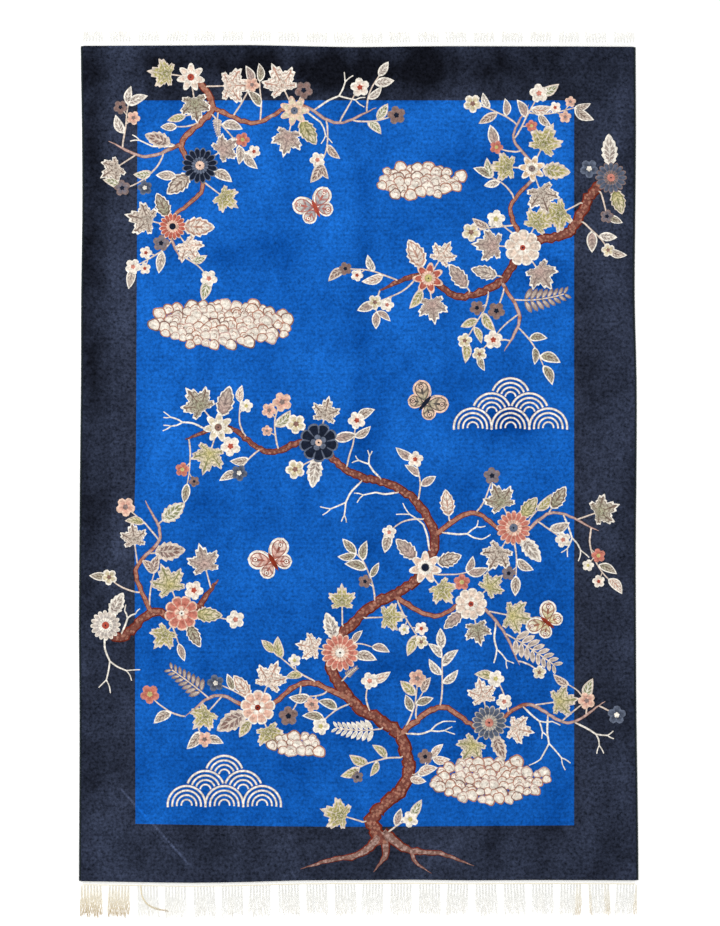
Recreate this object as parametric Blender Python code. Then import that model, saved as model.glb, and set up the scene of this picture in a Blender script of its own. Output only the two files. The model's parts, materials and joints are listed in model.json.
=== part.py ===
"""A hand-knotted Chinese art deco rug, lying flat.

Metres, +Z up. The long side runs along Y and the short side along X. The origin is on the
floor, under the middle of the whole rug with its fringes. Five pieces: the knotted pile
body, an overcast cord along each long side, and a flat woven cotton web at each end, which
carries that end's fringe.
"""

import math
import random

import bmesh
import bpy

# Driving sizes, in metres
RUG_WIDTH = 1.829  # 6 ft, over the two side cords
PILE_LENGTH = 2.743  # 9 ft, from one web to the other
BODY_THICKNESS = 0.012  # foundation and pile together
RIM_CHAMFER = 0.003  # the pile's clipped upper edge
CORD_DIAMETER = 0.007  # overcast side cord
WEB_WIDTH = 0.015  # flat woven web between pile and fringe
WEB_THICKNESS = 0.0025
LONG_FRINGE = 0.108  # bottom end, from the web to the longest tips
SHORT_FRINGE = 0.038  # top end, where only a short fringe shows
SEAM_GAP = 0.0003  # between neighbouring pieces

# Fringe: loose bunches of locks, each lock a few warp ends lying together
BUNCHES = 20
LOCKS_IN_BUNCH = 7
BUNCH_GAP = 0.021  # clear floor between two bunches, at their roots
WEB_MARGIN = 0.003  # bare web outside the first and last bunch
MOST_SHIFT = 0.002  # how far a bunch stands from its even place
LOCK_SHARE = 0.62  # of the pitch within a bunch that a lock's root fills
MOST_SHORTER = 0.10  # a lock may be this share shorter than the longest
MOST_LEAN = 0.006  # how far a bunch's tips swing aside
MOST_STRAY = 0.0010  # how far one lock's tip strays from its bunch
FRINGE_SEED = 7

# The body's grid, fine enough to follow the uneven edges
CELLS_ACROSS = 20
CELLS_ALONG = 30
CORD_BEVEL_RESOLUTION = 2

# How far each edge stands outside the true rectangle, in metres. The rug is a little wider
# at its bottom end, and no edge is quite straight. A share runs from the bottom to the top
# end for the sides, and from the left to the right side for the ends.
SIDE_EDGES = (
    # share, left, right
    (0.0, 0.0043, 0.0069),
    (0.1, 0.0030, 0.0043),
    (0.2, 0.0023, 0.0003),
    (0.3, 0.0043, -0.0010),
    (0.4, 0.0031, -0.0016),
    (0.5, 0.0007, 0.0007),
    (0.6, -0.0023, 0.0010),
    (0.7, -0.0030, -0.0053),
    (0.8, -0.0066, -0.0033),
    (0.9, -0.0056, -0.0013),
    (1.0, -0.0016, -0.0023),
)
END_EDGES = (
    # share, bottom, top
    (0.0, 0.0016, 0.0005),
    (0.1, 0.0043, 0.0013),
    (0.2, 0.0066, 0.0020),
    (0.3, 0.0039, 0.0030),
    (0.4, -0.0013, -0.0007),
    (0.5, -0.0020, -0.0036),
    (0.6, -0.0033, -0.0013),
    (0.7, -0.0013, -0.0007),
    (0.8, -0.0023, -0.0012),
    (0.9, -0.0020, -0.0016),
    (1.0, -0.0013, -0.0025),
)
LEFT, RIGHT = 1, 2  # columns of SIDE_EDGES
BOTTOM, TOP = 1, 2  # columns of END_EDGES

# Along a lock, from its root to its tip: the share of its length, and its width and height
# as shares of those at the root
LONG_LOCK_SECTIONS = (
    # share, width, height
    (0.30, 1.10, 0.95),
    (0.70, 1.05, 0.80),
    (1.00, 0.45, 0.45),
)
SHORT_LOCK_SECTIONS = (
    (0.55, 1.10, 0.85),
    (1.00, 0.50, 0.50),
)

# The fringes differ in length, so the pile's middle lies a little above the whole rug's
PILE_MIDDLE_Y = (LONG_FRINGE - SHORT_FRINGE) / 2

# Plain colours of each yarn, linear, with roughness
ROYAL_BLUE = (0.010, 0.110, 0.480, 1.0)
BLACK_NAVY = (0.016, 0.021, 0.034, 1.0)
IVORY_COTTON = (0.820, 0.790, 0.680, 1.0)


def smooth_at(table, column, share):
    """The table's column at a share, read from a smooth curve through its rows."""
    steps = len(table) - 1
    place = min(max(share, 0.0), 1.0) * steps
    row = min(int(place), steps - 1)
    t = place - row
    before, a, b, after = (table[min(max(row + k, 0), steps)][column] for k in (-1, 0, 1, 2))
    return 0.5 * (
        2 * a
        + (b - before) * t
        + (2 * before - 5 * a + 4 * b - after) * t * t
        + (3 * a - before - 3 * b + after) * t * t * t
    )


def side_x(side, share, inset=0.0):
    """X of the rug's outer edge on one side, moved inwards by the inset."""
    reach = RUG_WIDTH / 2 + smooth_at(SIDE_EDGES, side, share) - inset
    return -reach if side == LEFT else reach


def body_sides(share):
    """X of the body's left and right edges, inside the side cords."""
    inset = CORD_DIAMETER + SEAM_GAP
    return side_x(LEFT, share, inset), side_x(RIGHT, share, inset)


def end_y(end, share, outset=0.0):
    """Y of the pile's edge at one end, straight from one column of the body to the next."""
    column = min(max(share, 0.0), 1.0) * CELLS_ACROSS
    before = min(int(column), CELLS_ACROSS - 1)
    first, second = (
        smooth_at(END_EDGES, end, (before + step) / CELLS_ACROSS) for step in (0, 1)
    )
    reach = PILE_LENGTH / 2 + first + (second - first) * (column - before) + outset
    return PILE_MIDDLE_Y + (-reach if end == BOTTOM else reach)


def clear_scene():
    for old in list(bpy.data.objects):
        bpy.data.objects.remove(old)


def yarn_material(name, colour, roughness):
    material = bpy.data.materials.new(name)
    material.use_nodes = True
    shader = material.node_tree.nodes["Principled BSDF"]
    shader.inputs["Base Color"].default_value = colour
    shader.inputs["Roughness"].default_value = roughness
    return material


def new_collection(name):
    collection = bpy.data.collections.new(name)
    bpy.context.scene.collection.children.link(collection)
    return collection


def add_mesh_object(name, bm, material, collection):
    """Closes up a bmesh into an object with its faces pointing out."""
    bmesh.ops.recalc_face_normals(bm, faces=bm.faces)
    mesh = bpy.data.meshes.new(name)
    bm.to_mesh(mesh)
    bm.free()
    mesh.materials.append(material)
    made = bpy.data.objects.new(name, mesh)
    collection.objects.link(made)
    return made


def raised_grid(cells_x, cells_y, place, height):
    """A slab that stands on the floor; place(share_x, share_y) gives each grid point's XY."""
    bm = bmesh.new()
    bmesh.ops.create_grid(bm, x_segments=cells_x, y_segments=cells_y, size=0.5)
    for point in bm.verts:
        point.co.x, point.co.y = place(point.co.x + 0.5, point.co.y + 0.5)
    raised = bmesh.ops.extrude_face_region(bm, geom=bm.faces[:])
    for item in raised["geom"]:
        if isinstance(item, bmesh.types.BMVert):
            item.co.z = height
    bmesh.ops.recalc_face_normals(bm, faces=bm.faces)
    return bm


def make_body(material, collection):
    """The knotted body: one slab of pile on its foundation, with a clipped upper rim."""

    def place(share_x, share_y):
        left, right = body_sides(share_y)
        bottom, top = (end_y(end, share_x) for end in (BOTTOM, TOP))
        return left + (right - left) * share_x, bottom + (top - bottom) * share_y

    bm = raised_grid(CELLS_ACROSS, CELLS_ALONG, place, BODY_THICKNESS)
    rim = [
        edge
        for edge in bm.edges
        if all(point.co.z > BODY_THICKNESS / 2 for point in edge.verts)
        and any(abs(face.normal.z) < 0.5 for face in edge.link_faces)
    ]
    bmesh.ops.bevel(
        bm, geom=rim, offset=RIM_CHAMFER, offset_type="OFFSET", segments=1, affect="EDGES"
    )
    return add_mesh_object("rug_body", bm, material, collection)


def make_side_cord(name, side, material, collection):
    """The overcast cord along one side, from end to end of the pile."""
    curve = bpy.data.curves.new(name, "CURVE")
    curve.dimensions = "3D"
    curve.bevel_depth = CORD_DIAMETER / 2
    curve.bevel_resolution = CORD_BEVEL_RESOLUTION
    curve.use_fill_caps = True
    corner = 0.0 if side == LEFT else 1.0
    bottom, top = (end_y(end, corner) for end in (BOTTOM, TOP))
    spline = curve.splines.new("POLY")
    spline.points.add(CELLS_ALONG)
    for index, point in enumerate(spline.points):
        share = index / CELLS_ALONG
        x = side_x(side, share, CORD_DIAMETER / 2)
        point.co = (x, bottom + (top - bottom) * share, CORD_DIAMETER / 2, 1.0)
    curve.materials.append(material)
    made = bpy.data.objects.new(name, curve)
    collection.objects.link(made)
    return made


def root_borders():
    """Where each lock's root starts and stops along the web, in metres from its left end."""
    draw = random.Random(FRINGE_SEED)
    bunch_pitch = (RUG_WIDTH - 2 * WEB_MARGIN + BUNCH_GAP) / BUNCHES
    lock_pitch = (bunch_pitch - BUNCH_GAP) / LOCKS_IN_BUNCH
    bare = lock_pitch * (1 - LOCK_SHARE)
    borders = []
    for bunch in range(BUNCHES):
        start = WEB_MARGIN + bunch * bunch_pitch + draw.uniform(0.1, 1.0) * MOST_SHIFT
        for lock in range(LOCKS_IN_BUNCH):
            first = start + lock * lock_pitch + bare / 2
            borders += [first, first + lock_pitch - bare]
    return borders


def make_web(end):
    """The flat woven web along one end, and the faces of it that the locks grow from."""
    borders = [0.0, *root_borders(), RUG_WIDTH]
    corner = 0.0 if end == BOTTOM else 1.0
    left, right = side_x(LEFT, corner), side_x(RIGHT, corner)
    body_left, body_right = body_sides(corner)

    def place(share_x, share_y):
        border = borders[round(share_x * (len(borders) - 1))]
        x = left + (right - left) * border / RUG_WIDTH
        out = share_y if end == TOP else 1.0 - share_y
        along = (x - body_left) / (body_right - body_left)
        return x, end_y(end, along, SEAM_GAP + out * WEB_WIDTH)

    bm = raised_grid(len(borders) - 1, 1, place, WEB_THICKNESS)
    outward = -1.0 if end == BOTTOM else 1.0
    outer = [face for face in bm.faces if face.normal.y * outward > 0.7]
    outer.sort(key=lambda face: face.calc_center_median().x)
    return bm, outer[1::2]


def make_fringe(name, end, length, sections, material, collection):
    """One end's web, with the locks of warp that grow out of it."""
    bm, roots = make_web(end)
    draw = random.Random(FRINGE_SEED + end)
    shorter = [draw.uniform(0.0, MOST_SHORTER) for _ in roots]
    outward = -1.0 if end == BOTTOM else 1.0
    for bunch in range(BUNCHES):
        lean = draw.uniform(-MOST_LEAN, MOST_LEAN)
        bend = draw.uniform(0.8, 1.8)  # above 1, the bunch swings aside late
        for index in range(bunch * LOCKS_IN_BUNCH, (bunch + 1) * LOCKS_IN_BUNCH):
            reach = outward * length * (1.0 - shorter[index] + min(shorter))
            aside = lean + draw.uniform(-MOST_STRAY, MOST_STRAY)
            grow_lock(bm, roots[index], reach, aside, bend, sections)
    return add_mesh_object(name, bm, material, collection)


def grow_lock(bm, root, reach, aside, bend, sections):
    """Extrudes a root face along the floor, section by section, swinging aside as it goes."""
    start = root.calc_center_median()
    half_width = max(abs(point.co.x - start.x) for point in root.verts)
    face = root
    for share, width, height in sections:
        face = bmesh.ops.extrude_discrete_faces(bm, faces=[face])["faces"][0]
        middle = face.calc_center_median().x
        for point in face.verts:
            side = math.copysign(half_width * width, point.co.x - middle)
            point.co.x = start.x + aside * share**bend + side
            point.co.y = start.y + reach * share
            if point.co.z > 0.0:
                point.co.z = WEB_THICKNESS * height


def main():
    clear_scene()
    collection = new_collection("chinese_art_deco_rug")
    pile = yarn_material("royal_blue_wool_pile", ROYAL_BLUE, 0.85)
    overcast = yarn_material("black_navy_overcast_wool", BLACK_NAVY, 0.9)
    cotton = yarn_material("ivory_cotton_warp", IVORY_COTTON, 0.9)
    make_body(pile, collection)
    make_side_cord("side_cord_left", LEFT, overcast, collection)
    make_side_cord("side_cord_right", RIGHT, overcast, collection)
    make_fringe("fringe_bottom", BOTTOM, LONG_FRINGE, LONG_LOCK_SECTIONS, cotton, collection)
    make_fringe("fringe_top", TOP, SHORT_FRINGE, SHORT_LOCK_SECTIONS, cotton, collection)


main()
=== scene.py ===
"""A hand-knotted Chinese art deco rug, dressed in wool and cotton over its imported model.

Metres, +Z up, the rug's length along Y. The motifs are laid out in centimetres from the
middle of the pile: u to the right, and v towards the end with the short fringe.
"""

import json
import math
import random
from functools import lru_cache, partial

import bmesh
import bpy
import numpy as np
from bpy.props import FloatProperty, FloatVectorProperty, IntProperty, PointerProperty
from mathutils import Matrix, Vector, noise

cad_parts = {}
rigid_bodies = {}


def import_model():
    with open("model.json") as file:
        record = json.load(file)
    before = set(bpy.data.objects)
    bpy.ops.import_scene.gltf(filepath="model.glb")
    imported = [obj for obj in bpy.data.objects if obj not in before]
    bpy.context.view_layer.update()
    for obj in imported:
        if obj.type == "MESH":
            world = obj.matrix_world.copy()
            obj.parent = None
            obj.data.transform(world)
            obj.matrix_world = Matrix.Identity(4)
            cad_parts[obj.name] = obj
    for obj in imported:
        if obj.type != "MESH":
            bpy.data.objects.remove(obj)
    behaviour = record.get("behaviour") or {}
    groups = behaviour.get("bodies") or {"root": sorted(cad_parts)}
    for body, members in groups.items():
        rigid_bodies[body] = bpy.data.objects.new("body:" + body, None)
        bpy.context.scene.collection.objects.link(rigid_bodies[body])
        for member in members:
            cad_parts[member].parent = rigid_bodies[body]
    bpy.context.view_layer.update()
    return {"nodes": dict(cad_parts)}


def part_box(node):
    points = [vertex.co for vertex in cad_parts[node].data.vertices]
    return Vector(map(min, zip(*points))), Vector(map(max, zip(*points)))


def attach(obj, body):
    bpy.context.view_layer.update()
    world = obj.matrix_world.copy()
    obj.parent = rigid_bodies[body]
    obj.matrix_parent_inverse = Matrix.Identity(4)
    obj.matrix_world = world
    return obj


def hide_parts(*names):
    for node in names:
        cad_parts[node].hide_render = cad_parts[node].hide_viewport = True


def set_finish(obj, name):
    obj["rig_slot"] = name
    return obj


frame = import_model()

bl_info = {
    "name": "Chinese art deco rug",
    "version": (1, 0, 0),
    "blender": (4, 5, 0),
    "location": "View3D > Sidebar > Rug",
    "description": "Knots, draws and fringes a pictorial wool rug over its packed model",
    "category": "Object",
}

MM = 0.001
CM = 0.01

# Yarns of the drawing, as sRGB
YARNS = {
    "ivory": "#F8F1E4",
    "cream": "#E4D5C5",
    "pearl": "#BFB4A6",
    "straw": "#C6BA78",
    "sage": "#A5A587",
    "moss": "#7D7F4C",
    "taupe": "#897672",
    "slate": "#666F82",
    "ink": "#1B2233",
    "peach": "#EBC8B2",
    "salmon": "#D08878",
    "madder": "#AE4C3C",
    "rose": "#B07C68",
    "mauve": "#C4A59B",
    "umber": "#8C6A60",
    "russet": "#7E4A40",
    "loam": "#6E5249",
    "rust": "#8A3322",
}


# ---- Sizes and colours that a user would change ----


def length(name, description, default):
    return FloatProperty(name=name, description=description, default=default, unit="LENGTH")


def srgb(code):
    """The three sRGB shares, from 0 to 1, of a hex code."""
    return [int(code[i : i + 2], 16) / 255 for i in (1, 3, 5)]


def tone(name, description, code):
    """A colour in sRGB."""
    limits = {"subtype": "COLOR_GAMMA", "min": 0.0, "max": 1.0}
    return FloatVectorProperty(name=name, description=description, default=srgb(code), **limits)


class RugSizes(bpy.types.PropertyGroup):
    """Sizes of the rug's yarns and layers."""

    back_thickness: length("Back", "Height of the cotton foundation with its knots", 2.8 * MM)
    rim_round: length("Rim", "How far the pile rounds over at its outer edge", 3.0 * MM)
    relief: length("Relief", "How high a motif stands once its edges are clipped", 0.5 * MM)
    knot_pitch: length("Knot pitch", "Distance from one knot to the next", 3.4 * MM)
    wrap_pitch: length("Overcast pitch", "Distance between turns of overcast yarn", 2.4 * MM)
    warp_radius: length("Warp yarn", "Radius of one twisted warp yarn in the fringe", 0.75 * MM)
    warps_in_lock: IntProperty(name="Yarns", description="Warp yarns in one lock", default=7)
    layout_seed: IntProperty(name="Seed", description="Differences between like motifs", default=11)


class RugColours(bpy.types.PropertyGroup):
    """Main colours of the rug."""

    # Each dark and light pair is one wool: painted shade into the nap, painted sheen along it
    field_dark: tone("Field, into the nap", "Royal blue seen into the pile", "#023E8D")
    field_light: tone("Field, along the nap", "Royal blue seen along the pile", "#1B6CCE")
    border_dark: tone("Border, into the nap", "Black navy seen into the pile", "#12141C")
    border_light: tone("Border, along the nap", "Black navy seen along the pile", "#3C445A")
    cotton: tone("Cotton", "Natural cotton of web and fringe", "#FFFFFC")
    overcast: tone("Overcast", "Dark wool wound round the side cords", "#141B1E")


def sizes():
    return bpy.context.scene.rug_sizes


def colours():
    return bpy.context.scene.rug_colours


# ---- Small tools ----


def linear(colour):
    """An sRGB colour, as a hex code or three shares, as linear RGBA."""
    colour = srgb(colour) if isinstance(colour, str) else colour
    return (*(c / 12.92 if c <= 0.04045 else ((c + 0.055) / 1.055) ** 2.4 for c in colour), 1.0)


def cells_of(millimetres):
    """The scale of a texture whose cells are this wide."""
    return 1 / (millimetres * MM)


# The kinds of node that come back most often
MATH, VECTOR_MATH, MIX = "ShaderNodeMath", "ShaderNodeVectorMath", "ShaderNodeMix"
PLACE, ATTRIBUTE = "ShaderNodeTexCoord", "ShaderNodeAttribute"
NAMED, STORE = "GeometryNodeInputNamedAttribute", "GeometryNodeStoreNamedAttribute"
RANDOM = "FunctionNodeRandomValue"


def add_node(tree, kind, inputs=(), out=0, **settings):
    """Adds a node with its settings and links, and gives its output out, or itself for None.

    inputs are values or links, in the sockets' order or keyed by a socket's name or number.
    """
    made = tree.nodes.new(kind)
    for setting, value in settings.items():
        setattr(made, setting, value)
    for socket, value in inputs.items() if isinstance(inputs, dict) else enumerate(inputs):
        if isinstance(value, bpy.types.NodeSocket):
            tree.links.new(value, made.inputs[socket])
        else:
            made.inputs[socket].default_value = value
    return made if out is None else made.outputs[out]


def link(name, mesh):
    made = bpy.data.objects.new(name, mesh)
    bpy.context.scene.collection.objects.link(made)
    return made


def mesh_from(name, bm):
    """The bmesh as an object, with its faces turned outwards."""
    bmesh.ops.recalc_face_normals(bm, faces=bm.faces)
    mesh = bpy.data.meshes.new(name)
    bm.to_mesh(mesh)
    bm.free()
    return link(name, mesh)


def skin(bm, loops):
    """The faces between each loop of points and the next."""
    made = []
    for first, second in zip(loops, loops[1:]):
        for m in range(len(first)):
            n = (m + 1) % len(first)
            made.append(bm.faces.new((first[m], second[m], second[n], first[n])))
    return made


def points_mesh(name, places, edges=(), **attributes):
    """Loose points, or lines, that carry named attributes for a tree."""
    mesh = bpy.data.meshes.new(name)
    mesh.from_pydata([tuple(p) for p in places], [tuple(e) for e in edges], [])
    kinds = {1: ("FLOAT", "value"), 3: ("FLOAT_VECTOR", "vector"), 4: ("FLOAT_COLOR", "color")}
    for label, values in attributes.items():
        values = np.asarray(values, np.float32)
        kind, field = kinds[1 if values.ndim == 1 else values.shape[1]]
        mesh.attributes.new(label, kind, "POINT").data.foreach_set(field, values.ravel())
    return link(name, mesh)


def grow(name, source, tree, **values):
    """Runs a tree on a source and gives its result as a plain mesh object."""
    modifier = source.modifiers.new(tree.name, "NODES")
    modifier.node_group = tree
    for item in tree.interface.items_tree:
        key = item.name.lower().replace(" ", "_")
        if item.in_out == "INPUT" and key in values:
            modifier[item.identifier] = values[key]
    graph = bpy.context.evaluated_depsgraph_get()
    mesh = bpy.data.meshes.new_from_object(
        source.evaluated_get(graph), preserve_all_data_layers=True, depsgraph=graph
    )
    bpy.data.objects.remove(source)
    bm = bmesh.new()
    bm.from_mesh(mesh)
    bmesh.ops.recalc_face_normals(bm, faces=bm.faces)
    bm.to_mesh(mesh)
    bm.free()
    mesh.name = name
    mesh.materials.clear()
    mesh.materials.append(values["material"])
    mesh.polygons.foreach_set("material_index", [0] * len(mesh.polygons))
    return link(name, mesh)


def join(name, made):
    """Several objects as one."""
    if len(made) > 1:
        with bpy.context.temp_override(
            active_object=made[0], selected_editable_objects=made, selected_objects=made
        ):
            bpy.ops.object.join()
    made[0].name = made[0].data.name = name
    return made[0]


def keep(piece, slot, *replaced, smooth=False):
    """Rides a piece on the rug, names its finish, and hides the parts that it stands for."""
    if smooth:
        piece.data.shade_smooth()
    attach(piece, "root")
    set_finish(piece, slot)
    if replaced:
        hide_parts(*replaced)
    return piece


def smooth_path(rows, step):
    """A smooth curve through rows whose first two columns are places, one row every step."""
    knots = np.array(rows, float)
    knots = np.vstack([2 * knots[0] - knots[1], knots, 2 * knots[-1] - knots[-2]])
    out = []
    for a, b, c, d in zip(knots, knots[1:], knots[2:], knots[3:]):
        count = max(2, round(float(np.linalg.norm((c - b)[:2])) / step))
        t = np.linspace(0.0, 1.0, count, endpoint=False)[:, None]
        out.append(
            0.5 * (2 * b + (c - a) * t + (2 * a - 5 * b + 4 * c - d) * t**2)
            + 0.5 * (3 * b - a - 3 * c + d) * t**3
        )
    return np.vstack([*out, knots[-2:-1]])


# ---- The rug's outline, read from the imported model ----


@lru_cache(None)
def node_box(node):
    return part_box(node)


@lru_cache(None)
def floor_points(node):
    """X and Y of a node's corners on the floor, each once."""
    points = np.array([v.co for v in frame["nodes"][node].data.vertices])
    return np.unique(points[points[:, 2] < 0.1 * MM][:, :2].round(6), axis=0)


# How uneven an edge may be
EDGE_BAND = 25 * MM


@lru_cache(None)
def outline(side):
    """One edge of the body as two arrays: where along it, and how far out."""
    points = floor_points("rug_body")
    along, out = (1, 0) if side in ("left", "right") else (0, 1)
    sign = -1 if side in ("left", "bottom") else 1
    reach = points[:, out] * sign
    rows = points[reach > reach.max() - EDGE_BAND]
    rows = rows[np.argsort(rows[:, along])]
    return rows[:, along], rows[:, out]


def edge_at(side, where):
    return np.interp(where, *outline(side))


@lru_cache(None)
def middle_y():
    """The middle of the pile, from which motifs are measured."""
    low, high = node_box("rug_body")
    return (low.y + high.y) / 2


def pile_top():
    return node_box("rug_body")[1].z


def at(u, v):
    """X and Y, in metres, of a place in the layout."""
    return u * CM, middle_y() + v * CM


def swell(x, y):
    """How far the pile stands above or below its mean height there."""
    broad = noise.noise(Vector((x * 2.6, y * 2.6, 4.0)))
    fine = noise.noise(Vector((x * 9.0, y * 9.0, 9.0)))
    return (0.45 * broad + 0.2 * fine) * MM


# The field's edges inside the border
FIELD_LEFT = ((-118.5, -14.0, 5.0, 119.4), (-73.2, -73.5, -73.0, -72.5))  # v, u
FIELD_BOTTOM = ((-73.0, -30.0, 0.0, 70.9), (-118.2, -119.0, -119.2, -118.7))  # u, v
FIELD_RIGHT = 70.9
FIELD_TOP = 119.4
BAND_EDGE = -81.4  # where the left border's nap turns

# Soft patches of painted shade and sheen where the nap lies another way: u, v, reach each way, how
# much lighter
FIELD_NAP_SHADE = (
    (1.5, 36.0, 4.5, 56.0, -0.36),
    (0.0, 116.0, 6.0, 6.0, -0.35),
    (-35.0, 69.0, 20.0, 6.0, -0.40),
    (-58.0, 72.0, 8.0, 5.0, -0.25),
    (-33.0, 50.0, 8.0, 11.0, -0.28),
    (-50.0, 13.0, 7.0, 5.0, -0.35),
    (-18.0, 12.0, 6.0, 6.0, -0.25),
    (33.0, 80.0, 17.0, 8.0, -0.30),
    (43.0, 98.0, 8.0, 8.0, -0.30),
    (57.0, 61.0, 13.0, 6.0, -0.45),
    (50.0, 14.0, 14.0, 7.0, -0.55),
    (33.0, 24.0, 7.0, 12.0, -0.25),
    (8.0, -67.0, 13.0, 5.0, -0.30),
    (-4.0, -88.0, 12.0, 8.0, -0.25),
    (60.0, -60.0, 22.0, 40.0, -0.14),
    (40.0, -82.0, 9.0, 9.0, -0.15),
    (-52.0, 4.0, 16.0, 9.0, 0.12),
    (-66.0, 55.0, 7.0, 12.0, 0.12),
    (58.0, 78.0, 10.0, 7.0, 0.14),
    (8.0, -108.0, 22.0, 5.0, 0.16),
)
# The same patches of painted shade and sheen, for the border
BORDER_NAP_SHADE = (
    (-88.0, 40.0, 5.0, 130.0, -0.22),
    (-80.0, -122.0, 15.0, 20.0, 0.06),
    (0.0, 130.0, 95.0, 8.0, -0.56),
    (-88.0, 78.0, 6.0, 32.0, -0.2),
    (-30.0, -128.0, 60.0, 9.0, -0.04),
    (50.0, -130.0, 40.0, 7.0, 0.04),
    (82.0, 92.0, 7.0, 32.0, 0.2),
    (82.0, 20.0, 7.0, 36.0, 0.12),
    (80.0, -60.0, 8.0, 50.0, -0.04),
    (-60.0, 124.0, 18.0, 5.0, 0.18),
    (66.0, 129.0, 20.0, 6.0, 0.16),
    (74.0, -100.0, 5.0, 16.0, 0.10),
)
# A fold mark across the bottom left corner: u, v of its ends, and how far it reaches across
FOLD_ENDS = ((-79.2, -105.5), (-54.5, -132.7))
FOLD_REACH = 6 * MM


def patches(table, u, v):
    return sum(
        change * math.exp(-(((u - pu) / ru) ** 2) - ((v - pv) / rv) ** 2)
        for pu, pv, ru, rv, change in table
    )


def folded_corner(u, v):
    """A little lighter in the corner that the fold mark cuts off."""
    (au, av), (bu, bv) = FOLD_ENDS
    run = math.hypot(bu - au, bv - av)
    along = ((u - au) * (bu - au) + (v - av) * (bv - av)) / run
    off = ((u - au) * (bv - av) - (v - av) * (bu - au)) / run
    if not -4 < along < run + 4:
        return 0.0
    return 0.13 * (1 if off > 0 else math.exp(off / 3))


def in_field(u, v):
    return (
        np.interp(v, *FIELD_LEFT) < u < FIELD_RIGHT
        and np.interp(u, *FIELD_BOTTOM) < v < FIELD_TOP
    )


# Mottling of the nap's painted shade and sheen, broad to fine: changes along X and along Y, a place
# of its own, how much
MOTTLE = ((7.0, 4.5, 2.0, 0.32), (19.0, 15.0, 5.0, 0.2), (46.0, 60.0, 8.0, 0.14))
# A band of lighter painted sheen inside the left border: from BAND_EDGE to here, and above here
BAND_END, BAND_FOOT = -70, -31.6


def nap_shade_at(x, y):
    """The pile's painted shade and sheen there, by how its nap lies: from 0, into the nap, to 1,
    along it.
    """
    u, v = x / CM, (y - middle_y()) / CM
    mottle = sum(noise.noise(Vector((x * a, y * b, c))) * much for a, b, c, much in MOTTLE)
    if in_field(u, v):
        # The field's painted shade gets a little lighter towards the short fringe
        fall = 0.0017 * max(-60.0, min(60.0, v))
        return 0.62 + fall + patches(FIELD_NAP_SHADE, u, v) + mottle + folded_corner(u, v)
    band = 0.15 if BAND_EDGE < u < BAND_END and v > BAND_FOOT else 0.0
    return 0.5 + patches(BORDER_NAP_SHADE, u, v) + mottle + band + folded_corner(u, v)


# ---- Materials ----

# Painted shade in the gaps between tufts and painted highlight on their tips: how dark the gaps,
# and how light the tips
TUFT_SHADE_AND_HIGHLIGHT = (0.4, 1.26)
# The yarns that a motif's points carry
TINTS = ("rim", "fill", "tip", "heart", "line")


def new_material(name, roughness, sheen, tint, specular):
    """A material with its even settings on the shader's own sockets, and its add_node."""
    material = bpy.data.materials.new(name)
    material.use_nodes = True
    inputs = material.node_tree.nodes["Principled BSDF"].inputs
    inputs["Roughness"].default_value = roughness
    inputs["Specular IOR Level"].default_value = specular
    inputs["Sheen Weight"].default_value = sheen
    inputs["Sheen Roughness"].default_value = 0.45
    inputs["Sheen Tint"].default_value = linear(tint)
    return material, partial(add_node, material.node_tree)


def surface(material, colour, height, strength, distance):
    """Links a colour and a bump to the material's shader."""
    tree = material.node_tree
    shader = tree.nodes["Principled BSDF"]
    bump = {"Height": height, "Strength": strength, "Distance": distance}
    tree.links.new(colour, shader.inputs["Base Color"])
    tree.links.new(add_node(tree, "ShaderNodeBump", bump), shader.inputs["Normal"])


def fold_mark(node):
    """1 along the worn line of an old fold, 0 past its sides and its ends."""
    ends = [Vector((*at(*end), 0.0)) for end in FOLD_ENDS]
    run = ends[1] - ends[0]
    inputs = {
        "Vector": node(PLACE, out="Object"),
        "Location": (ends[0] + ends[1]) / 2,
        "Rotation": (0.0, 0.0, math.atan2(run.y, run.x)),
        "Scale": (run.length / 2, FOLD_REACH, 1.0),
    }
    place = node("ShaderNodeMapping", inputs, vector_type="TEXTURE")
    split = node("ShaderNodeSeparateXYZ", (place,), None).outputs
    faded = []
    # It fades over its whole half width, and over the last sixth at each end
    for axis, steep in (("Y", 1.0), ("X", 6.0)):
        off = node(MATH, (split[axis],), operation="ABSOLUTE")
        off = node(MATH, (off, -steep, steep), operation="MULTIPLY_ADD", use_clamp=True)
        faded.append(off)
    return node(MATH, faded, operation="MULTIPLY")


def cut_pile(material, node, colour, tuft_shading=TUFT_SHADE_AND_HIGHLIGHT):
    """Cut pile: tufts and rows of knots as bump, with painted shade between tufts and along rows
    and painted highlight on tuft tips.
    """
    place = node(PLACE, out="Object")
    # Tufts at their true 3.4 mm pitch, as bump
    tufts = {"Vector": place, "Scale": 1 / sizes().knot_pitch, "Randomness": 0.7}
    tufts = node("ShaderNodeTexVoronoi", tufts, "Distance")
    # Groups of tufts, because one tuft alone is finer than the render shows
    grain = {"Vector": place, "Scale": cells_of(9.524), "Detail": 4.0, "Roughness": 0.8}
    grain = node("ShaderNodeTexNoise", grain, "Fac")
    # Four rows of knots in one, for the same reason; a wave's bands are pi / 10 apart
    rows = {"Vector": place, "Scale": cells_of(14.28) * math.pi / 10}
    rows |= {"Distortion": 1.6, "Detail": 2.0, "Detail Scale": 3.0}
    rows = node("ShaderNodeTexWave", rows, "Fac", bands_direction="Y")
    # Painted shade and highlight: wool keeps some light between its tufts, so its mean is under 1
    depth = 0.08
    low, high = (share - depth / 2 for share in tuft_shading)
    light = {"Value": grain, "From Min": 0.3, "From Max": 0.7, "To Min": low, "To Max": high}
    light = node("ShaderNodeMapRange", light)
    light = node(MATH, (rows, depth, light), operation="MULTIPLY_ADD")
    shaded = node(VECTOR_MATH, {0: colour, 3: light}, operation="SCALE")
    height = node(MATH, (grain, 0.8, tufts), operation="MULTIPLY_ADD")
    surface(material, shaded, height, 0.5, 0.9 * MM)


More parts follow.
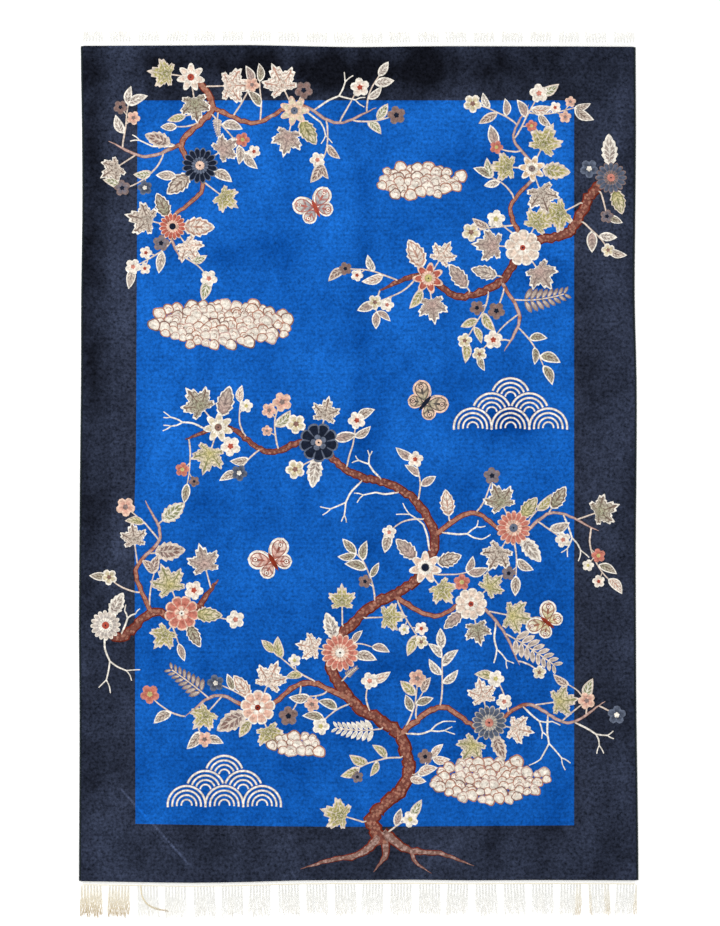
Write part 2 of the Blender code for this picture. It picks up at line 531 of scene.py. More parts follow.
def knot_backs(material, node, colour):
    """The back of the knots: small level loops in rows, with painted shade in the gaps between
    them, where the cotton weft lies.
    """
    loops = {
        "Vector": node(PLACE, out="Object"),
        "Color1": linear("#FFFFFF"),
        "Color2": linear("#E7E7E7"),
        # The darker mortar is painted shade in the gaps between the loops
        "Mortar": linear("#B3B3B3"),
        "Scale": 1.0,
        "Mortar Size": 0.4 * MM,
        "Mortar Smooth": 0.7,
        "Brick Width": sizes().knot_pitch,
        "Row Height": sizes().knot_pitch,
    }
    loops = node("ShaderNodeTexBrick", loops, "Color")
    shaded = node(VECTOR_MATH, (colour, loops), operation="MULTIPLY")
    surface(material, shaded, loops, 0.7, 0.4 * MM)


FINISHES = {"pile": cut_pile, "knots": knot_backs}


def ground_wool(name, dark, light, tint, finish="pile", tuft_shading=TUFT_SHADE_AND_HIGHLIGHT, worn=0.0):
    """Vat-dyed wool: deep and matt, with painted shade and sheen, between a dark and a light copy,
    by how the nap lies.
    """
    material, node = new_material(name, 0.95, 0.04, tint, 0.02)
    # The nap attribute is painted shade and sheen: it mixes a shaded and a lit copy of the wool
    nap = node(ATTRIBUTE, out="Fac", attribute_name="nap")
    colour = node(MIX, {0: nap, 6: linear(dark), 7: linear(light)}, 2, data_type="RGBA")
    if finish == "knots":
        knot_backs(material, node, colour)
        return material
    if worn:
        paler = node(MATH, (fold_mark(node), worn, 1.0), operation="MULTIPLY_ADD")
        colour = node(VECTOR_MATH, {0: colour, 3: paler}, operation="SCALE")
    cut_pile(material, node, colour, tuft_shading)
    return material


@lru_cache(None)
def motif_wool(finish):
    """Wool of the motifs, matt, with outline, ground, veins and heart each in its own yarn."""
    material, node = new_material(f"dyed_wool_motif_{finish}", 0.95, 0.03, "#FFF4E0", 0.05)
    zone, along, across, veins = (
        node(ATTRIBUTE, out="Fac", attribute_name=label)
        for label in ("zone", "along", "across", "veins")
    )
    rim, fill, tip, heart, line = (
        node(ATTRIBUTE, out="Color", attribute_name=label) for label in TINTS
    )
    across = node(MATH, (across,), operation="ABSOLUTE")
    # Leaf: a midrib, slanting veins, and a fine line inside the outline
    beat = node(MATH, (across, -0.25, along), operation="MULTIPLY_ADD")
    beat = node(MATH, (beat, veins), operation="MULTIPLY")
    beat = node(MATH, (beat,), operation="FRACT")
    leaf = node(MATH, (beat, 0.34), operation="LESS_THAN")
    leaf = node(MATH, (leaf, 0.75), operation="MULTIPLY")
    for operation, share in (("LESS_THAN", 0.13), ("GREATER_THAN", 0.66)):
        ruled = node(MATH, (across, share), operation=operation)
        leaf = node(MATH, (leaf, ruled), operation="MAXIMUM")
    # Petals: a line between one and the next
    petal = node(MATH, (across, 0.74), operation="GREATER_THAN")
    petal = node(MATH, (petal, 0.8), operation="MULTIPLY")
    is_leaf = node(MATH, (veins, 0.5), operation="GREATER_THAN")
    lined = node(MIX, {0: is_leaf, 2: petal, 3: leaf}, data_type="FLOAT")
    lined = node(MATH, (lined, 0.85), operation="MULTIPLY")
    in_heart = node(MATH, (zone, 1.5), operation="GREATER_THAN")
    in_rim = node(MATH, (zone, 0.5), operation="LESS_THAN")
    colour = fill
    for share, yarn in ((along, tip), (lined, line), (in_heart, heart), (in_rim, rim)):
        colour = node(MIX, {0: share, 6: colour, 7: yarn}, 2, data_type="RGBA")
    FINISHES[finish](material, node, colour)
    return material


def branch_wool(finish):
    """Wool of trunks and twigs: a dark outline round a flecked, bark-like ground."""
    material, node = new_material(f"dyed_wool_bark_{finish}", 0.95, 0.03, "#FFE8D8", 0.05)
    flecked, across = (
        node(ATTRIBUTE, out="Fac", attribute_name=label) for label in ("flecked", "across")
    )
    rim, fill, tip = (
        node(ATTRIBUTE, out="Color", attribute_name=label) for label in TINTS[:3]
    )
    # Flecks of three or four knots
    spots = {"Vector": node(PLACE, out="Object"), "Scale": cells_of(11.11), "Randomness": 1.0}
    spots = node("ShaderNodeTexVoronoi", spots, "Distance")
    fleck = node(MATH, (spots, 0.43), operation="LESS_THAN")
    fleck = node(MATH, (fleck, flecked), operation="MULTIPLY")
    fleck = node(MATH, (fleck, 0.75), operation="MULTIPLY")
    edge = node(MATH, (across,), operation="ABSOLUTE")
    edge = node(MATH, (edge, 0.68), operation="GREATER_THAN")
    colour = fill
    for share, yarn in ((fleck, tip), (edge, rim)):
        colour = node(MIX, {0: share, 6: colour, 7: yarn}, 2, data_type="RGBA")
    FINISHES[finish](material, node, colour)
    return material


@lru_cache(None)
def overcast_wool():
    """Two-ply dark wool wound tight round the side cord: matt, a little hairy."""
    material, node = new_material("overcast_wool_yarn", 0.9, 0.08, "#3A4658", 0.1)
    place = node(PLACE, out="Object")
    hair = {"Vector": place, "Scale": cells_of(2.381), "Detail": 3.0}
    hair = node("ShaderNodeTexNoise", hair, "Fac")
    worn = {"Vector": place, "Scale": cells_of(142.9), "Detail": 2.0}
    worn = node("ShaderNodeTexNoise", worn, "Fac")
    lit = node(MATH, (hair, 0.4), operation="MULTIPLY")
    colour = linear(colours().overcast)
    for share, tint in ((worn, "#2E3738"), (lit, "#414C52")):
        colour = node(MIX, {0: share, 6: colour, 7: linear(tint)}, 2, data_type="RGBA")
    surface(material, colour, hair, 0.4, 0.3 * MM)
    return material


@lru_cache(None)
def cotton_yarn(name, code=None, toned=False):
    """Twisted cotton: pale and matt, yellower in places and browner towards its tips."""
    tint = srgb(code) if code else colours().cotton
    material, node = new_material(name, 0.85, 0.1, "#FFF8EC", 0.15)
    ply = {"Vector": node(PLACE, out="Object"), "Scale": cells_of(1.923), "Detail": 2.0}
    ply = node("ShaderNodeTexNoise", ply, "Fac")
    shade = linear([share * 0.97 for share in tint])
    colour = node(MIX, {0: ply, 6: shade, 7: linear(tint)}, 2, data_type="RGBA")
    # Yellower along some locks and browner towards their tips, as the fringe's attributes say
    for label, deeper_tone in (("soil", "#F7EAC6"), ("tip_soil", "#AD8F5C")) if toned else ():
        share = node(ATTRIBUTE, out="Fac", attribute_name=label)
        colour = node(MIX, {0: share, 6: colour, 7: linear(deeper_tone)}, 2, data_type="RGBA")
    surface(material, colour, ply, 0.5, 0.3 * MM)
    return material


# ---- Unit shapes: a low closed relief of each kind, laid many times by Geometry Nodes ----

# How high a motif's floor, brim, shoulder and crown stand, as shares of the relief
SUNK, BRIM, SHOULDER, CROWN = -1.2, 0.3, 0.8, 1.0
# How fast the rings of a blade close in on its midrib
CLOSING = 1.43


def relief(name, rings, zones):
    """A closed relief from rings of (x, y, level, along, across), from its floor to its crown."""
    bm = bmesh.new()
    along = bm.verts.layers.float.new("along")
    across = bm.verts.layers.float.new("across")
    zone = bm.faces.layers.float.new("zone")
    loops = []
    for ring in rings:
        loops.append([])
        for x, y, level, a, c in ring:
            point = bm.verts.new((x, y, level * sizes().relief))
            point[along], point[across] = a, c
            loops[-1].append(point)
    bm.faces.new(loops[0])
    for *pair, code in zip(loops, loops[1:], zones):
        for face in skin(bm, pair):
            face[zone] = code
    bmesh.ops.remove_doubles(bm, verts=bm.verts, dist=1e-6)
    return mesh_from(f"unit_{name}", bm)


def blade(name, width_at, bend=0.0, stations=8, rim=0.18):
    """A leaf or petal from (0, 0) to (0, 1), as wide as width_at says, 1 at its widest."""
    shares = [i / (stations - 1) for i in range(stations)]
    route = [(t, 1.0) for t in shares] + [(t, -1.0) for t in shares[-2:0:-1]]

    def ring(inset, level):
        rows = []
        for t, side in route:
            run = inset * 0.5 + t * (1 - inset)
            off = side * max(0.0, 1 - inset * CLOSING)
            x = 0.5 * width_at(t) * off + bend * math.sin(math.pi * run)
            rows.append((x, run, level, run, off))
        return rows

    rings = [ring(0, SUNK), ring(0, BRIM), ring(rim, SHOULDER), ring(0.7, CROWN)]
    return relief(name, rings, (0, 0, 1))


def rosette(name, radius_at, count, phase_at, shares, zones, levels=(BRIM, SHOULDER, CROWN)):
    """A round motif 1 across; its zones end at shares, and phase_at is 1 on a drawn line."""
    angles = [2 * math.pi * i / count for i in range(count)]

    def ring(share, level):
        rows = []
        for angle in angles:
            reach = radius_at(angle) * share
            place = (-reach * math.sin(angle), reach * math.cos(angle), level)
            rows.append((*place, share, phase_at(angle)))
        return rows

    brim, shoulder, crown = levels
    rings = [ring(1.0, SUNK), ring(1.0, brim), ring(shares[0], shoulder)]
    rings += [ring(share, crown) for share in shares[1:]]
    return relief(name, rings, (0, 0, *zones))


def petals(name, count, depth, sharp, steps, shares):
    """A flower of this many petals; depth and sharp shape the notch between them."""

    def radius_at(angle):
        return 0.5 * (1 - depth + depth * abs(math.cos(count * angle / 2)) ** sharp)

    def phase_at(angle):
        return 1 - abs(math.cos(count * angle / 2))

    return rosette(name, radius_at, count * steps, phase_at, shares, (1, 2))


# Lobes of a vine leaf: which way, how far, how wide
LOBES = (
    (0.0, 0.52, 0.7),
    (0.98, 0.46, 0.66),
    (-0.98, 0.46, 0.66),
    (1.95, 0.34, 0.6),
    (-1.95, 0.34, 0.6),
)
VINE_TEETH = 21


def apart(a, b):
    """How far apart two angles are."""
    return abs((a - b + math.pi) % (2 * math.pi) - math.pi)


def vine_rim(angle):
    """The rim of a five-lobed leaf, its tip along +Y and its stalk at its foot."""
    reach = 0.12
    for aim, far, spread in LOBES:
        off = apart(angle, aim) / spread
        if off < 1:
            reach = max(reach, far * (1 - 0.55 * off**1.1))
    tooth = abs((angle * VINE_TEETH / math.tau) % 1.0 - 0.5)
    return reach * (1 + 0.34 * (tooth - 0.25))


def vine_phase(angle):
    """0 on the veins that run to the tips of the lobes, and off the rib between them."""
    return 0.16 if min(apart(angle, lobe[0]) for lobe in LOBES) > 0.05 else 0.0


def vine_leaf(name):
    return rosette(name, vine_rim, 4 * VINE_TEETH, vine_phase, (0.87, 0.42, 0.0), (1, 1))


def puff(name):
    """A flat, uneven round of cloud, so that rounds can overlap like scales."""

    def radius_at(angle):
        return 0.5 * (1 + 0.07 * math.cos(3 * angle) + 0.04 * math.sin(5 * angle))

    levels = (0.72, 0.84, 0.84)
    return rosette(name, radius_at, 18, lambda angle: 0.0, (0.8, 0.0), (1,), levels)


def tapered(power, fullness):
    """Widths of a blade whose widest place and roundness these two set."""
    return lambda t: math.sin(math.pi * t**power) ** fullness


def toothed(t):
    """The width of a leaf with six teeth a side."""
    return math.sin(math.pi * t**0.8) ** 0.75 * (0.82 + 0.3 * (t * 5.2 % 1.0))


SHAPES = {
    "leaf": partial(blade, width_at=tapered(0.85, 0.85)),
    "leaf_left": partial(blade, width_at=tapered(0.8, 0.85), bend=-0.2),
    "leaf_right": partial(blade, width_at=tapered(0.8, 0.85), bend=0.2),
    "toothed_leaf": partial(blade, width_at=toothed, stations=21, rim=0.11),
    "wing": partial(blade, width_at=tapered(1.4, 0.55), stations=14, rim=0.16),
    "leaflet": partial(blade, width_at=tapered(1.1, 0.5), stations=6, rim=0.26),
    "vine_leaf": vine_leaf,
    "plum": partial(petals, count=5, depth=0.28, sharp=0.6, steps=4, shares=(0.8, 0.3, 0.0)),
    "aster": partial(petals, count=16, depth=0.2, sharp=0.8, steps=6, shares=(0.92, 0.5, 0.0)),
    "star": partial(petals, count=7, depth=0.42, sharp=1.5, steps=8, shares=(0.84, 0.36, 0.0)),
    "peony": partial(petals, count=9, depth=0.16, sharp=0.5, steps=8, shares=(0.9, 0.45, 0.0)),
    "button": partial(petals, count=1, depth=0.0, sharp=1.0, steps=10, shares=(0.72, 0.3, 0.0)),
    "puff": puff,
}


# ---- Geometry Nodes trees ----


def new_tree(name, **inputs):
    """A tree with a geometry input, these named inputs, and a material input."""
    tree = bpy.data.node_groups.new(name, "GeometryNodeTree")
    kinds = {float: "NodeSocketFloat", int: "NodeSocketInt", object: "NodeSocketObject"}
    rows = [("Geometry", "INPUT", "NodeSocketGeometry")]
    rows += [(label, "INPUT", kinds[kind]) for label, kind in inputs.items()]
    rows += [("Material", "INPUT", "NodeSocketMaterial")]
    rows += [("Geometry", "OUTPUT", "NodeSocketGeometry")]
    for label, way, kind in rows:
        tree.interface.new_socket(label, in_out=way, socket_type=kind)
    node = partial(add_node, tree)
    return node, node("NodeGroupInput", out=None).outputs


def finish_tree(node, geometry, material):
    """Ends a tree in Realize Instances and Set Material."""
    plain = node("GeometryNodeRealizeInstances", (geometry,))
    dyed = node("GeometryNodeSetMaterial", {"Geometry": plain, "Material": material})
    return node("NodeGroupOutput", (dyed,), None).id_data


@lru_cache(None)
def lay_tree():
    """One shape laid on every point, turned and sized by the point."""
    node, given = new_tree("Lay shapes on points", Shape=object)
    turn, size = (node(NAMED, (label,), data_type="FLOAT_VECTOR") for label in ("turn", "size"))
    inputs = {
        "Points": given["Geometry"],
        "Instance": node("GeometryNodeObjectInfo", {"Object": given["Shape"]}, "Geometry"),
        "Rotation": node("FunctionNodeEulerToRotation", (turn,)),
        "Scale": size,
    }
    laid = node("GeometryNodeInstanceOnPoints", inputs)
    return finish_tree(node, laid, given["Material"])


@lru_cache(None)
def space_tree():
    """One shape at an even pitch along lines, each a little askew."""
    inputs = {"Shape": object, "Pitch": float, "Askew": float, "Seed": int}
    node, given = new_tree("Space shapes along a line", **inputs)
    line = node("GeometryNodeMeshToCurve", (given["Geometry"],))
    spaced = {"Curve": line, "Length": given["Pitch"]}
    spaced = node("GeometryNodeCurveToPoints", spaced, None, mode="LENGTH").outputs
    lean, scale = (
        node(RANDOM, {0: low, 1: high, "Seed": given["Seed"]}, data_type="FLOAT_VECTOR")
        for low, high in (((-1.0,) * 3, (1.0,) * 3), ((0.92, 0.92, 0.9), (1.08, 1.08, 1.05)))
    )
    lean = node(VECTOR_MATH, {0: lean, 3: given["Askew"]}, operation="SCALE")
    lean = node("FunctionNodeEulerToRotation", (lean,))
    heading = {"Vector": spaced["Tangent"]}
    heading = node("FunctionNodeAlignRotationToVector", heading, axis="Y", pivot_axis="Z")
    inputs = {
        "Points": spaced["Points"],
        "Instance": node("GeometryNodeObjectInfo", {"Object": given["Shape"]}, "Geometry"),
        "Rotation": node("FunctionNodeRotateRotation", (heading, lean), rotation_space="LOCAL"),
        "Scale": scale,
    }
    laid = node("GeometryNodeInstanceOnPoints", inputs)
    return finish_tree(node, laid, given["Material"])


@lru_cache(None)
def band_tree():
    """A low rounded band along each line, as wide as its points say."""
    node, given = new_tree("Band along a branch", Crown=float, Sides=int)
    half_width, level, rise = (node(NAMED, (label,)) for label in ("half_width", "level", "rise"))
    here = node("GeometryNodeInputPosition")
    here = node("ShaderNodeSeparateXYZ", (here,), None).outputs
    line = node("GeometryNodeMeshToCurve", (given["Geometry"],))
    line = node("GeometryNodeSetCurveNormal", {"Curve": line}, mode="Z_UP")
    profile = {"Resolution": given["Sides"], "Radius": 1.0}
    profile = node("GeometryNodeCurvePrimitiveCircle", profile)
    for label, axis in (("across", "X"), ("rise", "Y")):
        profile = node(STORE, {"Geometry": profile, "Name": label, "Value": here[axis]})
    inputs = {"Curve": line, "Profile Curve": profile, "Scale": half_width, "Fill Caps": True}
    band = node("GeometryNodeCurveToMesh", inputs)
    level = node(MATH, (rise, given["Crown"], level), operation="MULTIPLY_ADD")
    flat = node("ShaderNodeCombineXYZ", (here["X"], here["Y"], level))
    band = node("GeometryNodeSetPosition", {"Geometry": band, "Position": flat})
    return finish_tree(node, band, given["Material"])


@lru_cache(None)
def yarn_tree():
    """Each lock's middle line becomes yarns twisted loosely round it, frayed at their ends."""
    inputs = {"Yarns": int, "Steps": int, "Turns": float, "Radius": float, "Sides": int}
    node, given = new_tree("Twist yarns along locks", **inputs)
    line = node("GeometryNodeMeshToCurve", (given["Geometry"],))
    line = node("GeometryNodeResampleCurve", {"Curve": line, "Count": given["Steps"]})
    copies = {"Geometry": line, "Amount": given["Yarns"]}
    copies = node("GeometryNodeDuplicateElements", copies, None, domain="SPLINE").outputs
    yarns, index = copies["Geometry"], node("GeometryNodeInputIndex")
    for label, value in (("number", copies["Duplicate Index"]), ("yarn", index)):
        inputs = {"Geometry": yarns, "Name": label, "Value": value}
        yarns = node(STORE, inputs, domain="CURVE")
    half_width, phase, tip_tint, number, yarn = (
        node(NAMED, (label,)) for label in ("half_width", "phase", "tip_tint", "number", "yarn")
    )
    # Each yarn's own lean, sway and length
    lean, sway, end = (
        node(RANDOM, {2: low, 3: high, "ID": yarn, "Seed": seed}, 1, data_type="FLOAT")
        for low, high, seed in ((-4 * MM, 4 * MM, 3), (0.0, 6.3, 4), (0.9, 1.0, 6))
    )
    run = node("GeometryNodeSplineParameter", out="Factor")
    late, brown, last = (
        node(MATH, (run, power), operation="POWER") for power in (1.6, 2.5, 4.0)
    )
    # Round the lock's middle, in more room towards the loose end
    angle = node(MATH, (number, given["Yarns"]), operation="DIVIDE")
    angle = node(MATH, (angle, phase), operation="ADD")
    angle = node(MATH, (run, given["Turns"], angle), operation="MULTIPLY_ADD")
    angle = node(MATH, (angle, 2 * math.pi), operation="MULTIPLY")
    sine, cosine = (node(MATH, (angle,), operation=kind) for kind in ("SINE", "COSINE"))
    room = node(MATH, (half_width, given["Radius"]), operation="SUBTRACT")
    loose = node(MATH, (late, 1.3, 1.1), operation="MULTIPLY_ADD")
    room = node(MATH, (room, loose), operation="MULTIPLY")
    room = node(MATH, (room, 0.0), operation="MAXIMUM")
    side = node(MATH, (cosine, room), operation="MULTIPLY")
    side = node(MATH, (lean, late, side), operation="MULTIPLY_ADD")
    sway = node(MATH, (run, 9.0, sway), operation="MULTIPLY_ADD")
    sway = node(MATH, (sway,), operation="SINE")
    side = node(MATH, (sway, 0.35 * MM, side), operation="MULTIPLY_ADD")
    rise = node(MATH, (sine, 0.5, 0.5), operation="MULTIPLY_ADD")
    head = node(MATH, (late, -0.9 * MM, 1.4 * MM), operation="MULTIPLY_ADD")
    up = node(MATH, (rise, head, given["Radius"]), operation="MULTIPLY_ADD")
    sideways = node("GeometryNodeInputTangent")
    sideways = node(VECTOR_MATH, (sideways, (0.0, 0.0, 1.0)), operation="CROSS_PRODUCT")
    sideways = node(VECTOR_MATH, {0: sideways, 3: side}, operation="SCALE")
    lift = node("ShaderNodeCombineXYZ", {"Z": up})
    offset = node(VECTOR_MATH, (sideways, lift), operation="ADD")
    yarns = node("GeometryNodeSetPosition", {"Geometry": yarns, "Offset": offset})
    yarns = node("GeometryNodeTrimCurve", {"Curve": yarns, "End": end}, mode="FACTOR")
    brown = node(MATH, (brown, tip_tint), operation="MULTIPLY")
    yarns = node(STORE, {"Geometry": yarns, "Name": "tip_soil", "Value": brown})
    profile = {"Resolution": given["Sides"], "Radius": given["Radius"]}
    profile = node("GeometryNodeCurvePrimitiveCircle", profile)
    thin = node(MATH, (last, -0.45, 1.0), operation="MULTIPLY_ADD")
    inputs = {"Curve": yarns, "Profile Curve": profile, "Scale": thin, "Fill Caps": True}
    return finish_tree(node, node("GeometryNodeCurveToMesh", inputs), given["Material"])


# ---- The layout of the motifs: a generic flowering tree, in the rug's colours and scale ----

# Trunks and boughs: places with the width there
BRANCHES = (
    ("root", ((8, -121, 4.2), (1, -128, 2.6), (-9, -130, 1.6), (-19, -133, 0.5))),
    ("root", ((8, -121, 4.2), (17, -127, 2.6), (27, -128, 1.6), (38, -132, 0.5))),
    ("root", ((8, -121, 4.2), (9, -128, 2.4), (5, -134, 0.6))),
    ("root", ((17, -127, 1.8), (19, -131, 1.2), (24, -134.5, 0.5))),
    ("trunk", ((8, -125, 5.4), (5, -116, 4.6), (16, -104, 4.4), (13, -89, 4.2), (-3, -77, 4.0),
               (-9, -62, 3.8), (3, -48, 3.6), (19, -38, 3.4), (25, -23, 3.2), (15, -9, 2.9),
               (-2, -3, 2.6), (-16, 7, 2.3), (-30, 4, 2.0), (-43, 12, 1.6), (-57, 8, 1.2))),
    ("trunk", ((86, 96, 3.8), (77, 89, 3.6), (69, 76, 3.4), (55, 72, 3.1), (47, 60, 2.8),
               (33, 55, 2.4), (21, 62, 1.9), (7, 57, 1.4))),
    ("trunk", ((-85, -52, 3.6), (-78, -57, 3.4), (-68, -49, 2.9), (-56, -50, 2.4),
               (-46, -38, 1.6))),
    ("bough", ((13, -89, 2.3), (27, -80, 2.0), (41, -87, 1.6), (55, -79, 1.3), (69, -85, 1.0),
               (81, -78, 0.7))),
    ("bough", ((-3, -77, 2.2), (-18, -72, 1.9), (-32, -81, 1.5), (-46, -76, 1.1),
               (-57, -83, 0.7))),
    ("bough", ((25, -23, 2.0), (38, -16, 1.7), (51, -24, 1.4), (64, -16, 1.0), (79, -22, 0.7))),
    ("bough", ((11, -43, 2.0), (25, -50, 1.6), (37, -45, 1.3), (47, -54, 1.0), (53, -66, 0.7))),
    ("bough", ((55, 72, 1.8), (50, 84, 1.5), (58, 96, 1.2), (51, 107, 0.9), (56, 118, 0.6))),
    ("bough", ((47, 60, 1.4), (53, 48, 1.2), (48, 37, 0.8))),
    ("bough", ((-55, 129, 2.6), (-48, 117, 2.3), (-58, 105, 2.0), (-51, 91, 1.6),
               (-62, 79, 1.2), (-58, 66, 0.8))),
    ("bough", ((-48, 117, 1.8), (-34, 112, 1.6), (-20, 118, 1.3), (-7, 112, 1.0),
               (6, 117, 0.7))),
    ("bough", ((-58, 105, 1.4), (-70, 101, 1.1), (-82, 106, 0.7))),
    ("bough", ((-68, -49, 1.8), (-73, -35, 1.5), (-65, -24, 1.1), (-70, -12, 0.8))),
)

# Large flowers: kind, place, width, and the yarns of rim, ground, tip and heart
FLOWERS = (
    ("aster", -6, -62, 12.5, "peach", "madder", "salmon", "ivory"),
    ("star", 22, -34, 11.0, "ivory", "cream", "peach", "ink"),
    ("peony", -13, 7, 13.0, "slate", "ink", "ink", "peach"),
    ("aster", 43, -85, 11.5, "pearl", "ink", "slate", "salmon"),
    ("peony", -33, -80, 11.5, "ivory", "salmon", "peach", "rust"),
    ("aster", 51, -21, 11.5, "peach", "madder", "salmon", "slate"),
    ("peony", 37, -46, 10.5, "ivory", "peach", "cream", "madder"),
    ("star", -46, 12, 10.0, "ivory", "straw", "cream", "umber"),
    ("peony", 54, 71, 12.0, "ivory", "peach", "cream", "madder"),
    ("aster", 83, 94, 10.5, "taupe", "ink", "slate", "salmon"),
    ("star", 23, 61, 10.5, "peach", "salmon", "madder", "straw"),
    ("aster", -52, 98, 12.0, "slate", "ink", "ink", "peach"),
    ("star", -21, 116, 10.0, "peach", "straw", "cream", "slate"),
    ("peony", -58, -49, 11.5, "peach", "madder", "salmon", "ivory"),
    ("aster", -83, -53, 10.0, "ivory", "slate", "cream", "madder"),
    ("star", -55, 127, 9.5, "ivory", "peach", "cream", "madder"),
    ("star", 57, 97, 9.0, "ivory", "straw", "peach", "taupe"),
    ("aster", -61, 78, 9.0, "peach", "salmon", "madder", "ink"),
)

# How far a motif may reach from the middle
HALF_U, HALF_V = 88.5, 134.5
# How far apart a branch's twigs sprout, and how long the longest grows
TWIG_PITCH = {"trunk": 6.0, "bough": 4.2}
LONGEST_TWIG = 17.0
WAVE_RADIUS = 6.2
# A leaf longer than this has teeth
TOOTHED_FROM = 8

# Banks of cloud: place, width, height
CLOUDS = ((43, -104, 36, 13), (-44, 46, 44, 14), (21, 93, 26, 10), (-20, -92, 16, 6))
# Groups of waves: place, and how many circles the front row has
WAVES = ((-44, -112, 3), (50, 12, 3))

# Butterflies: place, heading in degrees, span, and the yarns of rim, wing and spot
BUTTERFLIES = (
    (-28, -32, 30, 15, "ivory", "salmon", "rust"),
    (22, 20, -40, 14, "peach", "sage", "ink"),
    (-14, 84, 25, 14, "ivory", "slate", "madder"),
    (62, -52, 50, 13, "ivory", "straw", "rust"),
)

LEAF_YARNS = (
    # rim, foot, tip, veins
    ("ivory", "pearl", "cream", "loam"),
    ("ivory", "cream", "ivory", "rose"),
    ("ivory", "sage", "pearl", "loam"),
    ("ivory", "mauve", "pearl", "taupe"),
    ("cream", "straw", "cream", "moss"),
    ("cream", "moss", "straw", "cream"),
    ("ivory", "taupe", "pearl", "ivory"),
    ("ivory", "cream", "pearl", "taupe"),
    ("cream", "sage", "moss", "ivory"),
    ("cream", "taupe", "umber", "cream"),
)
BLOSSOM_YARNS = (
    # rim, ground, tip, heart
    ("ivory", "peach", "ivory", "madder"),
    ("ivory", "cream", "ivory", "straw"),
    ("peach", "salmon", "peach", "taupe"),
    ("taupe", "slate", "taupe", "ink"),
    ("ivory", "ivory", "cream", "salmon"),
    ("salmon", "madder", "salmon", "straw"),
    ("slate", "ink", "slate", "ivory"),
    ("taupe", "taupe", "umber", "ink"),
    ("ivory", "straw", "cream", "umber"),
)
FEATHER_YARNS = (("cream", "taupe"), ("ivory", "taupe"), ("taupe", "cream"), ("ivory", "pearl"))
LINE_YARNS = {
    # outline, ground, fleck, how much it is flecked
    "root": ("rust", "umber", "mauve", 0.8),
    "trunk": ("rust", "russet", "rose", 1.0),
    "bough": ("rust", "rose", "rust", 0.5),
    "shoot": ("rose", "mauve", "rose", 0.0),
    "twig": ("peach", "cream", "peach", 0.0),
    "coral": ("ivory", "ivory", "ivory", 0.0),
    "curl": ("rose", "rose", "rose", 0.0),
    "wave": ("peach", "ivory", "ivory", 0.0),
}


def ahead(u, v, heading, distance):
    return u + math.cos(heading) * distance, v + math.sin(heading) * distance


